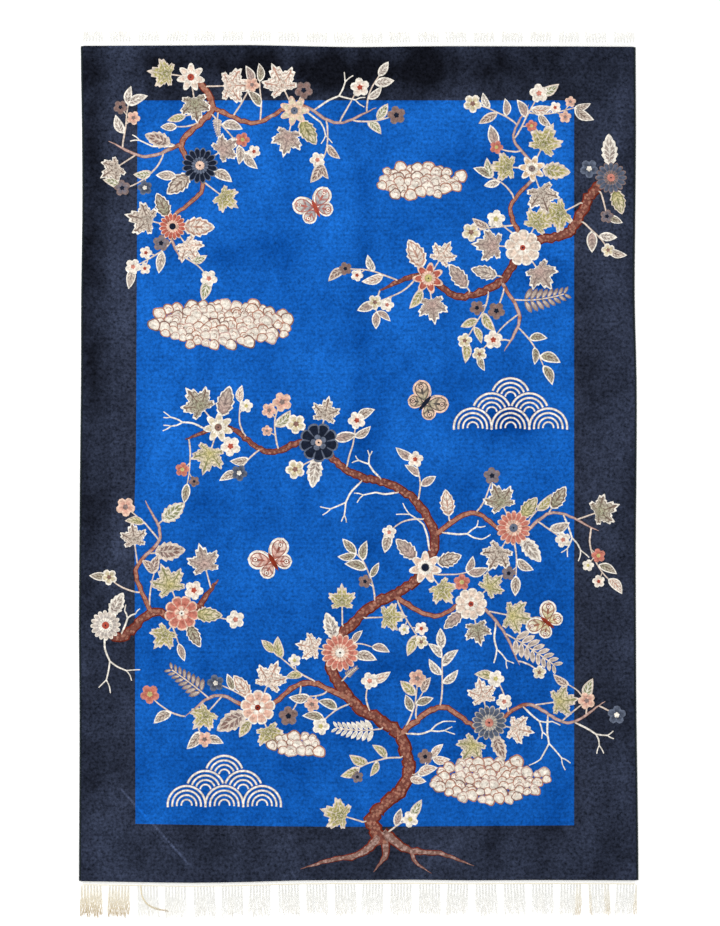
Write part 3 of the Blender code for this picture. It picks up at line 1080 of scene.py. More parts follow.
class Layout:
    """Places every motif, and keeps each clear of those already placed."""

    def __init__(self, seed):
        self.draw = random.Random(seed)
        self.shapes = {kind: [] for kind in SHAPES}
        self.lines = []
        self.taken = []

    @staticmethod
    def inside(u, v, reach=0.0):
        return abs(u) + reach < HALF_U and abs(v) + reach < HALF_V

    def free(self, u, v, reach):
        return self.inside(u, v, reach) and all(
            (u - a) ** 2 + (v - b) ** 2 > (reach + r) ** 2 for a, b, r in self.taken
        )

    def take(self, u, v, reach):
        self.taken.append((u, v, reach))

    def claim(self, u, v, reach, kept):
        """Takes a place as wide as kept, if one as wide as reach is free there."""
        free = self.free(u, v, reach)
        if free:
            self.take(u, v, kept)
        return free

    def shape(self, kind, u, v, turn, size, yarns, line, veins=0.0, lift=0.0):
        """turn is from +v, counter-clockwise; size is (across, along)."""
        self.shapes[kind].append((u, v, turn, size, yarns, line, veins, lift))

    def line(self, rows, yarns, lift=0.0):
        """A line of (u, v, width) rows."""
        self.lines.append((np.array(rows, float), yarns, lift))

    def leaf(self, u, v, heading, size, yarns=None):
        """A leaf whose foot is at (u, v)."""
        middle = ahead(u, v, heading, size * 0.58)
        tip_fits = self.inside(*ahead(u, v, heading, size))
        if not (tip_fits and self.claim(*middle, size * 0.23, size * 0.23)):
            return False
        rim, foot, tip, vein = yarns or self.draw.choice(LEAF_YARNS)
        large = size > TOOTHED_FROM
        kind = "toothed_leaf" if large else self.draw.choice(("leaf", "leaf_left", "leaf_right"))
        spans = (size * self.draw.uniform(0.4, 0.5) * (1.25 if large else 1), size)
        yarns = (rim, foot, tip, tip)
        self.shape(kind, u, v, heading - math.pi / 2, spans, yarns, vein, veins=6.0, lift=0.1)
        return True

    def vine_leaf(self, u, v, heading, size):
        """A large lobed leaf whose middle is at (u, v)."""
        if not (self.inside(u, v, size * 0.5) and self.claim(u, v, size * 0.24, size * 0.35)):
            return False
        rim, foot, tip, vein = self.draw.choice(LEAF_YARNS[:6])
        yarns = (rim, foot, tip, tip)
        turn = heading - math.pi / 2
        self.shape("vine_leaf", u, v, turn, (size, size), yarns, vein, veins=4.0)
        return True

    def blossom(self, u, v, width):
        if not self.claim(u, v, width * 0.4, width * 0.4):
            return False
        yarns = self.draw.choice(BLOSSOM_YARNS)
        turn = self.draw.uniform(0, 6.3)
        self.shape("plum", u, v, turn, (width, width), yarns, yarns[0], lift=0.25)
        return True

    def feather(self, u, v, heading, size):
        """A compound leaf: a rib with close-set leaflets on both sides."""
        bend = self.draw.uniform(-0.5, 0.5)
        rows, spine = 8, [(u, v, heading)]
        for index in range(rows):
            heading += bend / rows
            u, v = ahead(u, v, heading, size / rows)
            spine.append((u, v, heading))
        if not all(self.free(a, b, size * 0.16) for a, b, _ in spine[2::2]):
            return False
        rim, fill = self.draw.choice(FEATHER_YARNS)
        for index, (a, b, h) in enumerate(spine[1:]):
            self.take(a, b, size * 0.17)
            reach = size * (0.32 - 0.018 * index)
            for side in (-1, 1):
                turn = h + side * (1.05 - 0.04 * index) - math.pi / 2
                spans, yarns = (reach * 0.38, reach), (rim, fill, rim, rim)
                self.shape("leaflet", a, b, turn, spans, yarns, rim, lift=0.15 + index * 0.04)
        self.line([(a, b, 0.5) for a, b, _ in spine], "twig", lift=0.3)
        return True

    def coral(self, u, v, heading, size):
        """A bare shoot that forks again and again, with buds at a few of its tips."""
        fan = [(u, v, heading, size, 0)]
        forks = []
        for a, b, h, reach, depth in fan:
            bent = h + self.draw.uniform(-0.35, 0.35)
            knee = ahead(a, b, h, reach * 0.5)
            tip = ahead(*knee, bent, reach * 0.5)
            if not (self.free(*knee, 0.5) and self.free(*tip, 0.5)):
                continue
            width = 0.72 - 0.14 * depth
            forks.append(((a, b, width), (*knee, width * 0.95), (*tip, width * 0.85)))
            if depth < 2:
                for side in (-1, 1):
                    out = bent + side * self.draw.uniform(0.35, 0.7)
                    fan.append((*tip, out, reach * self.draw.uniform(0.55, 0.8), depth + 1))
        if len(forks) < 4:
            return False
        for rows in forks:
            self.line(rows, "coral", lift=0.02)
        for _, knee, tip in forks:
            self.take(*knee[:2], 0.5)
            self.take(*tip[:2], 0.5)
        for _, _, tip in forks[3::2]:
            if self.draw.random() < 0.35:
                self.blossom(*tip[:2], self.draw.uniform(2.6, 3.4))
        return True

    def tendril(self, u, v, heading, size):
        """A thin shoot that rolls up at its end."""
        side = self.draw.choice((-1, 1))
        rows = [(u, v, 0.4)]
        for index in range(14):
            heading += side * (0.12 + index * 0.06)
            u, v = ahead(u, v, heading, size * 0.16 * (1 - index * 0.045))
            rows.append((u, v, 0.4))
        if all(self.free(a, b, 0.5) for a, b, _ in rows[2:]):
            self.line(rows, "twig")
            for a, b, _ in rows[1::3]:
                self.take(a, b, 0.8)

    def twig(self, u, v, heading, reach, curl, blossoms):
        """A thin curved twig, with leaves on alternate sides and a blossom at its end."""
        steps = max(2, round(reach / 3.0))
        path = [(u, v, heading)]
        for _ in range(steps):
            heading += curl / steps + self.draw.uniform(-0.12, 0.12)
            u, v = ahead(u, v, heading, reach / steps)
            path.append((u, v, heading))
        if not all(self.free(a, b, 0.5) for a, b, _ in path[2:]):
            return False
        yarns = self.draw.choice(LEAF_YARNS) if self.draw.random() < 0.7 else None
        if self.draw.random() > blossoms or not self.blossom(u, v, self.draw.uniform(4.4, 6.6)):
            if not self.leaf(u, v, heading, self.draw.uniform(5.6, 7.6), yarns):
                return False
        widths = np.linspace(0.66, 0.42, len(path))
        self.line([(a, b, w) for (a, b, _), w in zip(path, widths)], "twig")
        side = self.draw.choice((-1, 1))
        for a, b, h in path[1:]:
            side = -side
            out = h + side * self.draw.uniform(0.6, 1.0)
            bud = ahead(a, b, out, 3.2)
            if self.draw.random() < 0.3 and self.blossom(*bud, self.draw.uniform(3.6, 5.4)):
                self.line([(a, b, 0.45), (*bud, 0.4)], "twig")
            else:
                self.leaf(a, b, out, self.draw.uniform(5.6, 7.8), yarns)
        for a, b, _ in path[1:]:
            self.take(a, b, 0.3)
        return True

    def branch(self, kind, rows):
        """A trunk or bough, knotty along its length."""
        path = smooth_path(rows, 1.2)
        for index in range(1, len(path)):
            u, v, width = path[index]
            path[index, 2] *= 1 + 0.28 * noise.noise(Vector((index * 0.5, path[0, 0], 1.0)))
            path[index, 0] += 0.3 * width * noise.noise(Vector((index * 0.22, v, 3.0)))
            path[index, 1] += 0.3 * width * noise.noise(Vector((index * 0.22, u, 7.0)))
        path[-5:, 2] *= (0.9, 0.8, 0.65, 0.5, 0.3)
        self.line(path, kind, lift=0.05)
        for u, v, width in path:
            self.take(u, v, width * 0.5 + 0.2)
        return path

    def sprout(self, path, pitch):
        """Twigs, lobed leaves, feather leaves and tendrils on both sides of a branch."""
        run, side = pitch * 0.6, 1
        for before, here in zip(path, path[1:]):
            run += float(np.linalg.norm((here - before)[:2]))
            if run < pitch:
                continue
            run, side = 0.0, -side
            heading = math.atan2(here[1] - before[1], here[0] - before[0])
            # Seven tries at a side shoot: half are twigs, a fifth lobed leaves, and a tenth each
            # feather leaves, large leaves and bare shoots; each further try is a little smaller
            for attempt in range(7):
                lean = heading + side * self.draw.uniform(0.55, 1.35)
                root = ahead(*here[:2], heading + side * 1.57, here[2] * 0.45)
                start = ahead(*root, lean, 1.3)
                stalk = [(*here[:2], 0.62), (*root, 0.62), (*start, 0.6)]
                room = 1.0 - 0.11 * attempt
                pick = self.draw.random()
                if pick < 0.2:
                    done = self.vine_leaf(*ahead(*start, lean, 6), lean, self.draw.uniform(11, 15))
                    stalk.append((*ahead(*start, lean, 5.2), 0.5))
                elif pick < 0.3:
                    done = self.feather(*start, lean, self.draw.uniform(12, 17) * room)
                elif pick < 0.4:
                    done = self.leaf(*start, lean, self.draw.uniform(8.5, 11.5))
                elif pick < 0.5:
                    done = self.coral(*start, lean, self.draw.uniform(6, 9) * room)
                else:
                    reach = self.draw.uniform(0.6, 1.0) * LONGEST_TWIG * room
                    done = self.twig(*start, lean, reach, self.draw.uniform(-0.9, 0.9), 0.65)
                if done:
                    self.line(stalk, "twig", lift=-0.05)
                    break
            else:
                lean = heading + side
                self.tendril(*ahead(*here[:2], lean, here[2] * 0.5), lean, 8)

    def flower(self, kind, u, v, width, rim, ground, tip, heart):
        """A large flower on a ring of leaves."""
        self.take(u, v, width * 0.46)
        spread = self.draw.uniform(0, 6.3)
        bud = ahead(u, v, spread, width * 0.74)
        if self.blossom(*bud, self.draw.uniform(5.4, 7.2)):
            self.line([(u, v, 0.5), (*bud, 0.5)], "twig", lift=-0.05)
        # The bud has one of the six places round the flower, and leaves have the other five
        for index in range(1, 6):
            heading = spread + index * 1.047 + self.draw.uniform(-0.2, 0.2)
            size = self.draw.uniform(11, 15)
            middle = ahead(u, v, heading, width * 0.36 + size * 0.36)
            if index % 2 and self.vine_leaf(*middle, heading, size):
                self.line([(u, v, 0.6), (*middle, 0.5)], "twig", lift=-0.05)
            else:
                foot = ahead(u, v, heading, width * 0.38)
                self.leaf(*foot, heading, self.draw.uniform(7, 10.5))
        whole, inner, core = ((width * share,) * 2 for share in (1.0, 0.52, 0.18))
        self.shape(kind, u, v, spread, whole, (rim, ground, tip, tip), rim, lift=0.35)
        kind = "plum" if kind == "peony" else "aster"
        self.shape(kind, u, v, spread + 0.3, inner, (tip, rim, rim, heart), ground, lift=0.6)
        self.shape("button", u, v, 0.0, core, (heart, heart, heart, "ink"), heart, lift=0.85)

    def cloud(self, u, v, width, height):
        """A bank of cloud: overlapping rounded puffs, each drawn round in a rosy line."""
        rows, lift = max(3, round(height / 1.8)), 0.0
        for row in range(rows):
            level = (row + 0.5) / rows * 2 - 1
            reach = math.sqrt(max(0.05, 1 - level * level)) * width / 2
            shift = noise.noise(Vector((row * 1.7, u, v))) * width * 0.22
            a = u + shift - reach
            while a < u + shift + reach:
                size = self.draw.uniform(2.5, 4.2)
                b = v - level * height / 2 + self.draw.uniform(-0.8, 0.8)
                self.take(a, b, size * 0.45)
                rim = self.draw.choice(("rose", "rose", "umber", "mauve"))
                span = size * self.draw.uniform(1.0, 1.3)
                # Each row lies a little over the last, and so does every second puff in it
                lift = 0.09 * row + (0.045 if lift < 0.09 * row + 0.02 else 0.0)
                turn = self.draw.uniform(-0.8, 0.4)
                yarns = (rim, "ivory", "cream", "ivory")
                self.shape("puff", a, b, turn, (span, size), yarns, "ivory", lift=lift)
                if self.draw.random() < 0.4:
                    bends = enumerate(np.linspace(-0.4, 2.6, 5) + turn)
                    curl = [(*ahead(a, b, q, 1.0 * (1 - k * 0.12)), 0.28) for k, q in bends]
                    self.line(curl, "curl", lift=lift + 0.22)
                a += span * 0.74

    def waves(self, u, v, front):
        """Rising rows of waves: rings in one another, each row half hidden by the one before."""
        size, hidden = WAVE_RADIUS, []
        for row in range(front):
            middles = [u + (k - (front - row - 1) / 2) * 2 * size for k in range(front - row)]
            level = v + row * size * 0.8
            for middle in middles:
                for share in (1.0, 0.76, 0.52, 0.28):
                    run = []
                    for q in np.linspace(-0.12, math.pi + 0.12, 30):
                        place = ahead(middle, level, q, size * share)
                        clear = all(math.dist(place, other) > size + 0.5 for other in hidden)
                        if clear:
                            run.append((*place, 0.8 - 0.25 * (1 - share)))
                        if run and (not clear or q > math.pi + 0.1):
                            if len(run) > 3:
                                self.line(run, "wave")
                            run = []
            hidden += [(middle, level) for middle in middles]
        for middle in hidden:
            self.take(*middle, size)

    @staticmethod
    def turned(u, v, angle, a, b):
        return (
            u + a * math.cos(angle) - b * math.sin(angle),
            v + a * math.sin(angle) + b * math.cos(angle),
        )

    def butterfly(self, u, v, heading, span, rim, wing, spot):
        """Two pairs of spotted wings, a body and feelers."""
        self.take(u, v, span * 0.42)
        aim = math.radians(heading)
        for side in (-1, 1):
            for angle, reach, broad in ((0.95, 0.56, 0.42), (2.1, 0.42, 0.34)):
                spans, yarns = (span * broad, span * reach), (rim, wing, rim, spot)
                turn = aim - side * angle
                self.shape("wing", u, v, turn, spans, yarns, spot, veins=3.0, lift=0.2)
                far = span * reach * 0.7
                eye = self.turned(u, v, aim, math.sin(side * angle) * far, math.cos(angle) * far)
                dot = (span * 0.12, span * 0.12)
                self.shape("button", *eye, 0.0, dot, (spot, rim, rim, spot), rim, lift=0.5)
            feeler = ((0.0, 0.16), (side * 0.06, 0.28), (side * 0.16, 0.36))
            feeler = [self.turned(u, v, aim, a * span, b * span) for a, b in feeler]
            self.line([(*place, 0.34) for place in feeler], "twig", lift=0.3)
        tail = self.turned(u, v, aim, 0, -span * 0.24)
        self.shape("leaflet", *tail, aim, (span * 0.1, span * 0.46), (spot,) * 4, spot, lift=0.6)


@lru_cache(None)
def planned():
    """The whole layout, worked out once."""
    plan = Layout(sizes().layout_seed)
    for row in CLOUDS:
        plan.cloud(*row)
    for row in WAVES:
        plan.waves(*row)
    paths = [(kind, plan.branch(kind, rows)) for kind, rows in BRANCHES]
    for row in BUTTERFLIES:
        plan.butterfly(*row)
    for row in FLOWERS:
        plan.flower(*row)
    for kind, path in paths:
        if kind in TWIG_PITCH:
            plan.sprout(path, TWIG_PITCH[kind])
    return plan


# ---- Pieces ----


BORDER_WIDTH = 180 * MM


class Grid:
    """Rows and columns over the body that follow its outline and the field's edges."""

    def __init__(self, cells_u, cells_v, border):
        rim = sizes().rim_round / BORDER_WIDTH
        # Close rows where the pile rounds over, then even ones
        fine = [0.0, rim * 0.25, rim * 0.8, rim * 1.7]
        even = [fine[-1] + (1 - fine[-1]) * (i + 1) / border for i in range(border)]
        # One close pair of columns where the left border's nap turns
        edge = edge_at("left", 0.5) / CM
        band = (BAND_EDGE - edge) / (FIELD_LEFT[1][2] - edge)
        self.columns = [("left", s) for s in sorted([*fine, *even, band, band + 0.01])]
        self.columns += [("field", (i + 1) / cells_u) for i in range(cells_u)]
        self.columns += [("right", s) for s in reversed((fine + even)[:-1])]
        self.rows = [("bottom", s) for s in fine + even]
        self.rows += [("field", (i + 1) / cells_v) for i in range(cells_v)]
        self.rows += [("top", s) for s in reversed((fine + even)[:-1])]

    def x_of(self, column, y):
        zone, share = column
        low = np.interp((y - middle_y()) / CM, *FIELD_LEFT) * CM
        high = FIELD_RIGHT * CM
        if zone == "field":
            return low + (high - low) * share
        outer = edge_at(zone, y)
        return outer + ((low if zone == "left" else high) - outer) * share

    def y_of(self, row, x):
        zone, share = row
        low = at(0, np.interp(x / CM, *FIELD_BOTTOM))[1]
        high = at(0, FIELD_TOP)[1]
        if zone == "field":
            return low + (high - low) * share
        outer = edge_at(zone, x)
        return outer + ((low if zone == "bottom" else high) - outer) * share

    def place(self, column, row):
        x, y = self.x_of(column, 0.0), self.y_of(row, 0.0)
        return self.x_of(column, y), self.y_of(row, x)

    def in_middle(self, i, j):
        return self.columns[i + 1][0] == "field" and self.rows[j + 1][0] == "field"


def slab(name, grid, floor, underside, top_at, nap_of):
    """A closed slab over the grid, whose second material is the field's.

    Its underside follows the grid too if it is seen, and is one face if not.
    """
    bm = bmesh.new()
    nap = bm.verts.layers.float.new("nap")
    wide, deep = len(grid.columns), len(grid.rows)
    tops, feet = {}, {}
    for i, column in enumerate(grid.columns):
        for j, row in enumerate(grid.rows):
            x, y = grid.place(column, row)
            # How many rows in from the rim, up to 3
            depth = min(i, j, wide - 1 - i, deep - 1 - j, 3)
            tops[i, j] = bm.verts.new((x, y, top_at(x, y, depth)))
            # Painted nap shade and sheen, for the wool's colour
            tops[i, j][nap] = nap_of(x, y)
            if depth == 0 or underside:
                feet[i, j] = bm.verts.new((x, y, floor))
                feet[i, j][nap] = tops[i, j][nap]
    for points in (tops, feet) if underside else (tops,):
        for i in range(wide - 1):
            for j in range(deep - 1):
                corners = ((i, j), (i + 1, j), (i + 1, j + 1), (i, j + 1))
                face = bm.faces.new([points[k] for k in corners])
                face.material_index = int(grid.in_middle(i, j))
    walk = [(i, 0) for i in range(wide - 1)]
    walk += [(wide - 1, j) for j in range(deep - 1)]
    walk += [(i, deep - 1) for i in range(wide - 1, 0, -1)]
    walk += [(0, j) for j in range(deep - 1, 0, -1)]
    for here, after in zip(walk, walk[1:] + walk[:1]):
        bm.faces.new((feet[here], feet[after], tops[after], tops[here]))
    if not underside:
        bm.faces.new([feet[k] for k in walk])
    return mesh_from(name, bm)


def dye_slab(piece, finish):
    """Border and field yarn for a slab."""
    tones = colours()
    border = (f"black_navy_wool_{finish}", tones.border_dark, tones.border_light, "#39445A")
    field = (f"royal_blue_wool_{finish}", tones.field_dark, tones.field_light, "#2A66C0")
    # The border's tufts get stronger painted shade and highlight than the field's, and show the
    # fold more
    for row, tuft_shading, worn in ((border, (0.12, 1.54), 1.2), (field, (0.42, 1.24), 0.4)):
        piece.data.materials.append(ground_wool(*row, finish, tuft_shading, worn))


def make_back():
    """The cotton back with its rows of knots, level and seen from below."""
    top, even = sizes().back_thickness, 0.5
    shape = (0.4 * MM, True, lambda x, y, depth: top, lambda x, y: even)
    piece = slab("woven_back", Grid(16, 26, 3), *shape)
    dye_slab(piece, "knots")
    return keep(piece, "wool_pile")


def make_pile():
    """The sheared pile, rounded at its rim, with painted nap shade and sheen, lighter or darker in
    places.
    """
    rim = sizes().rim_round
    drops = (rim, rim * 0.4, rim * 0.08, 0.0)

    def top_at(x, y, depth):
        return pile_top() - drops[depth] + (swell(x, y) if depth == 3 else 0.0)

    floor = sizes().back_thickness + 0.1 * MM
    piece = slab("knotted_pile", Grid(100, 164, 10), floor, False, top_at, nap_shade_at)
    dye_slab(piece, "pile")
    return keep(piece, "wool_pile", "rug_body", smooth=True)


def run_along(side, out, z, margin):
    """Places along one edge of the body, moved outwards, short of the corners by a margin."""
    where, reach = outline(side)
    where = np.clip(where, where[0] + margin, where[-1] - margin)
    reach = reach + (-out if side in ("left", "bottom") else out)
    upright = side in ("left", "right")
    return [(r, w, z) if upright else (w, r, z) for w, r in zip(where, reach)]


def chain(start, end):
    """Edges that join points start to end in a row."""
    return [(k, k + 1) for k in range(start, end - 1)]


def spaced_along(name, place, unit, pitch, askew, seed, material):
    """A shape at an even pitch along one edge; place is its side, out, z and margin."""
    run = run_along(*place)
    source = points_mesh(name, run, chain(0, len(run)))
    values = {"shape": unit, "pitch": pitch, "askew": askew, "seed": seed, "material": material}
    return grow(name, source, space_tree(), **values)


def rail(name, side, margin, section):
    """A closed bar along one edge of the body, whose section is (outwards, up) points."""
    bm = bmesh.new()
    stations = zip(*(run_along(side, out, z, margin) for out, z in section))
    loops = [[bm.verts.new(place) for place in station] for station in stations]
    skin(bm, loops)
    bm.faces.new(loops[0])
    bm.faces.new(loops[-1])
    return mesh_from(name, bm)


# Painted nap shade and sheen of the rim tufts, the same all round
RIM_NAP_SHADE = 0.42


def make_rim():
    """Rows of tufts that stand at the pile's outer edge, all round."""
    bm = bmesh.new()
    cone = {"segments": 6, "radius1": 2.0 * MM, "radius2": 1.3 * MM, "depth": 6.0 * MM}
    bmesh.ops.create_cone(bm, cap_ends=True, **cone)
    unit = mesh_from("unit_tuft", bm)
    tones = colours()
    tint = (tones.border_dark, tones.border_light, "#39445A")
    material = ground_wool("black_navy_wool_rim", *tint)
    made = []
    for seed, side in enumerate(("left", "right", "bottom", "top")):
        place = (side, -1.8 * MM, 6.1 * MM, 2 * MM)
        row = {"pitch": sizes().knot_pitch, "askew": 0.14, "seed": seed, "material": material}
        made.append(spaced_along(f"rim_{side}", place, unit, **row))
    bpy.data.objects.remove(unit)
    piece = join("rim_tufts", made)
    nap = piece.data.attributes.new("nap", "FLOAT", "POINT")
    nap.data.foreach_set("value", [RIM_NAP_SHADE] * len(nap.data))
    return keep(piece, "wool_pile")


# The pieces of the drawing, and the shapes that each one lays
DRAWING = {
    "plain_leaves": ("leaf", "leaf_left", "leaf_right", "toothed_leaf"),
    "vine_and_feather_leaves": ("vine_leaf", "leaflet"),
    "flowers_and_butterflies": ("plum", "star", "peony", "aster", "wing", "button"),
    "cloud_banks": ("puff",),
    "branches": (),
}
# Each motif stands a hair higher than the last, so that two never share a surface
STAGGER = 0.004 * MM


def make_motifs(name):
    """All motifs of a piece's kinds, laid on the pile, as one mesh."""
    made = []
    for kind in DRAWING[name]:
        places, turns, spans, veins = [], [], [], []
        tints = {label: [] for label in TINTS}
        for count, row in enumerate(planned().shapes[kind]):
            u, v, turn, size, yarns, line, vein, lift = row
            x, y = at(u, v)
            level = pile_top() + swell(x, y) + lift * MM + (count % 23) * STAGGER
            places.append((x, y, level))
            turns.append((0.0, 0.0, turn))
            spans.append((size[0] * CM, size[1] * CM, 1.0))
            veins.append(vein)
            for label, yarn in zip(tints, (*yarns, line)):
                tints[label].append(linear(YARNS[yarn]))
        if not places:
            continue
        source = points_mesh(f"{kind}_points", places, turn=turns, size=spans, veins=veins, **tints)
        unit = SHAPES[kind](kind)
        made.append(grow(f"{kind}s", source, lay_tree(), shape=unit, material=motif_wool("pile")))
        bpy.data.objects.remove(unit)
    return keep(join(name, made), "wool_pile")


def make_branches():
    """Trunks, boughs, twigs and drawn lines, as low bands along their paths."""
    places, edges = [], []
    data = {label: [] for label in ("half_width", "level", "flecked", *TINTS[:3])}
    for rows, kind, lift in planned().lines:
        path = smooth_path(rows, 0.9) if kind in ("twig", "coral", "curl") else rows
        start = len(places)
        for u, v, width in path:
            *yarns, flecked = LINE_YARNS["shoot" if kind == "bough" and width < 1.3 else kind]
            x, y = at(u, v)
            places.append((x, y, 0.0))
            data["half_width"].append(width * CM / 2)
            data["level"].append(pile_top() + swell(x, y) + (lift - 0.05) * MM)
            data["flecked"].append(flecked)
            for label, yarn in zip(TINTS, yarns):
                data[label].append(linear(YARNS[yarn]))
        edges += chain(start, len(places))
    source = points_mesh("branch_lines", places, edges, **data)
    values = {"crown": sizes().relief, "sides": 6, "material": branch_wool("pile")}
    return keep(grow("branches", source, band_tree(), **values), "wool_pile")


def make_drawing_on_back():
    """The drawing as it shows on the back: level, in the same knots, the other way up."""
    made = []
    for name in DRAWING:
        piece = link(f"{name}_back", bpy.data.objects[name].data.copy())
        mesh = piece.data
        points = np.empty(len(mesh.vertices) * 3, np.float32)
        mesh.vertices.foreach_get("co", points)
        points = points.reshape(-1, 3)
        depth = points[:, 2] - pile_top()
        depth -= [swell(x, y) for x, y in points[:, :2].tolist()]
        points[:, 2] = 0.36 * MM - 0.2 * depth
        mesh.vertices.foreach_set("co", points.ravel())
        mesh.flip_normals()
        mesh.materials[0] = (branch_wool if name == "branches" else motif_wool)("knots")
        made.append(piece)
    return keep(join("drawing_on_back", made), "wool_pile")


def ring_turn(radius, corners, sides, yarn_y, yarn_r):
    """One turn of yarn round a cord along Y; yarn_y and yarn_r are half its width and height."""
    bm = bmesh.new()
    loops = []
    for k in range(corners):
        angle = 2 * math.pi * k / corners
        out = Vector((math.cos(angle), 0.0, math.sin(angle)))
        loop = []
        for m in range(sides):
            spin = 2 * math.pi * (m + 0.5) / sides
            reach = radius - yarn_r + math.cos(spin) * yarn_r
            loop.append(bm.verts.new(out * reach + Vector((0, math.sin(spin) * yarn_y, 0))))
        loops.append(loop)
    skin(bm, loops + loops[:1])
    return mesh_from("unit_turn", bm)


# Between the body and a side cord
CORD_GAP = 0.3 * MM


def make_overcast(side):
    """The side cord, wound with dark wool."""
    node = f"side_cord_{side}"
    low, high = node_box(node)
    radius = (high.z - low.z) / 2
    unit = ring_turn(radius, corners=10, sides=4, yarn_y=1.25 * MM, yarn_r=0.5 * MM)
    material = overcast_wool()
    middle = CORD_GAP + radius
    turns = {"pitch": sizes().wrap_pitch, "askew": 0.05, "seed": 3, "material": material}
    piece = spaced_along(f"overcast_{side}", (side, middle, radius, 1.5 * MM), unit, **turns)
    bpy.data.objects.remove(unit)
    angles = [math.radians(45 * k) for k in range(8)]
    inner = radius - 0.6 * MM
    section = [(middle + inner * math.cos(q), radius + inner * math.sin(q)) for q in angles]
    core = rail(f"core_{side}", side, 1.5 * MM, section)
    core.data.materials.append(material)
    return keep(join(piece.name, [piece, core]), "overcast_wool", node, smooth=True)


WEB_WIDTH = 15 * MM
# Where the model's locks have their corners, in millimetres from the body
LOCK_BANDS = {
    "bottom": ((14, 18), (40, 50), (78, 96), (104, 132)),
    "top": ((14, 18), (30, 42), (43, 60)),
}
# Half the width of a lock where it is slimmest
SLIMMEST = 1.2 * MM
# Where the long fringe is yellower: from x to x, and how much
YELLOWER_SPANS = (
    (-0.93, -0.845, 0.85),
    (-0.83, -0.755, 0.8),
    (0.71, 0.765, 0.45),
    (0.81, 0.85, 0.4),
    (0.905, 0.93, 0.5),
)


def make_web(end):
    """The flat web: cotton weft packed over the warps, with a straw thread at the bottom."""
    thick = 2.2 * MM
    plain = cotton_yarn("natural_cotton_web")
    straw = cotton_yarn("straw_cotton_thread", "#E6D6A8")
    near, far, low, high = 0.4 * MM, WEB_WIDTH - 0.2 * MM, 0.3 * MM, thick - 0.6 * MM
    section = ((near, low), (far, low), (far, high), (near, high))
    strip = rail(f"web_strip_{end}", end, 3.2 * MM, section)
    strip.data.materials.append(plain)
    made = [strip]
    bm = bmesh.new()
    bmesh.ops.create_uvsphere(bm, u_segments=6, v_segments=4, radius=1.0)
    bmesh.ops.scale(bm, vec=(1.75 * MM, 1.85 * MM, thick / 2), verts=bm.verts)
    unit = mesh_from("unit_web_knuckle", bm)
    pitch = sizes().knot_pitch
    for row in range(4):
        material = straw if (end, row) == ("bottom", 3) else plain
        out, margin = (2.0 + row * 3.65) * MM, 5 * MM + (row % 2) * pitch / 2
        place = (end, out, thick / 2, margin)
        knuckles = {"pitch": pitch, "askew": 0.06, "seed": row, "material": material}
        made.append(spaced_along(f"web_row_{end}_{row}", place, unit, **knuckles))
    bpy.data.objects.remove(unit)
    return keep(join(f"web_{end}", made), "cotton_warp", f"fringe_{end}")


def lock_stations(end):
    """Every lock's middle and half width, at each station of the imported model."""
    points = floor_points(f"fringe_{end}")
    sign = -1 if end == "bottom" else 1
    beyond = (points[:, 1] - edge_at(end, points[:, 0])) * sign / MM
    stations = []
    for index, (first, last) in enumerate(LOCK_BANDS[end]):
        rows = points[(beyond > first) & (beyond < last)]
        rows = rows[np.argsort(rows[:, 0])]
        rows = rows[1:-1] if index == 0 else rows  # without the web's own two corners
        left, right = rows[0::2], rows[1::2]
        stations.append(np.column_stack([(left + right) / 2, (right[:, 0] - left[:, 0]) / 2]))
    if len({len(rows) for rows in stations}) != 1:
        raise RuntimeError(f"the {end} fringe's locks don't match from station to station")
    return np.array(stations)


def warp_yarn():
    return cotton_yarn("twisted_cotton_warp_yarn", toned=True)


def make_fringe(end):
    """The warp ends of one fringe: yarns twisted loosely into locks."""
    draw = random.Random(5)
    places, edges = [], []
    data = {label: [] for label in ("half_width", "phase", "soil", "tip_tint")}
    stations = lock_stations(end)
    for k in range(stations.shape[1]):
        path = smooth_path(stations[:, k], 0.02)
        soil = sum(much for low, high, much in YELLOWER_SPANS if low < path[0, 0] < high)
        soil = soil if end == "bottom" and soil else draw.uniform(0.0, 0.08)
        tip, phase = soil * 0.85 + draw.uniform(0, 0.3) ** 2, draw.random()
        start = len(places)
        for share, (x, y, half) in zip(np.linspace(0.3, 1.1, len(path)), path):
            places.append((x, y, 0.05 * MM))
            for label, value in zip(data, (max(half, SLIMMEST), phase, soil * share, tip)):
                data[label].append(value)
        edges += chain(start, len(places))
    source = points_mesh(f"fringe_lines_{end}", places, edges, **data)
    long = end == "bottom"
    values = {"yarns": sizes().warps_in_lock, "radius": sizes().warp_radius, "sides": 4}
    values |= {"steps": 12 if long else 6, "turns": 1.3 if long else 0.5}
    name = f"fringe_yarns_{end}"
    piece = grow(name, source, yarn_tree(), material=warp_yarn(), **values)
    return keep(piece, "cotton_warp", f"fringe_{end}", smooth=True)


def make_swept_lock():
    """One brown lock of the long fringe, swept sideways over its neighbours."""
    rows = (
        (-0.7155, -1.3520),
        (-0.7140, -1.3720),
        (-0.7070, -1.3960),
        (-0.6880, -1.4180),
        (-0.6550, -1.4300),
        (-0.6200, -1.4340),
    )
    places = [(x, y, 2.6 * MM) for x, y in smooth_path(rows, 0.01)]
    size = len(places)
    even = {"half_width": 1.9 * MM, "phase": 0.2, "soil": 0.9, "tip_tint": 1.0}
    data = {label: [value] * size for label, value in even.items()}
    source = points_mesh("swept_line", places, chain(0, size), **data)
    values = {"yarns": 4, "steps": 26, "turns": 3.0, "radius": 0.6 * MM, "sides": 4}
    piece = grow("swept_lock", source, yarn_tree(), material=warp_yarn(), **values)
    return keep(piece, "cotton_warp", smooth=True)


def lay_down():
    """Gathers the finished pieces other than the back and the imported parts; nothing more is done
    with them.
    """
    back = bpy.data.objects["woven_back"]
    others = [o for o in bpy.data.objects if o.get("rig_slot") and o.name not in frame["nodes"]]
    others.remove(back)


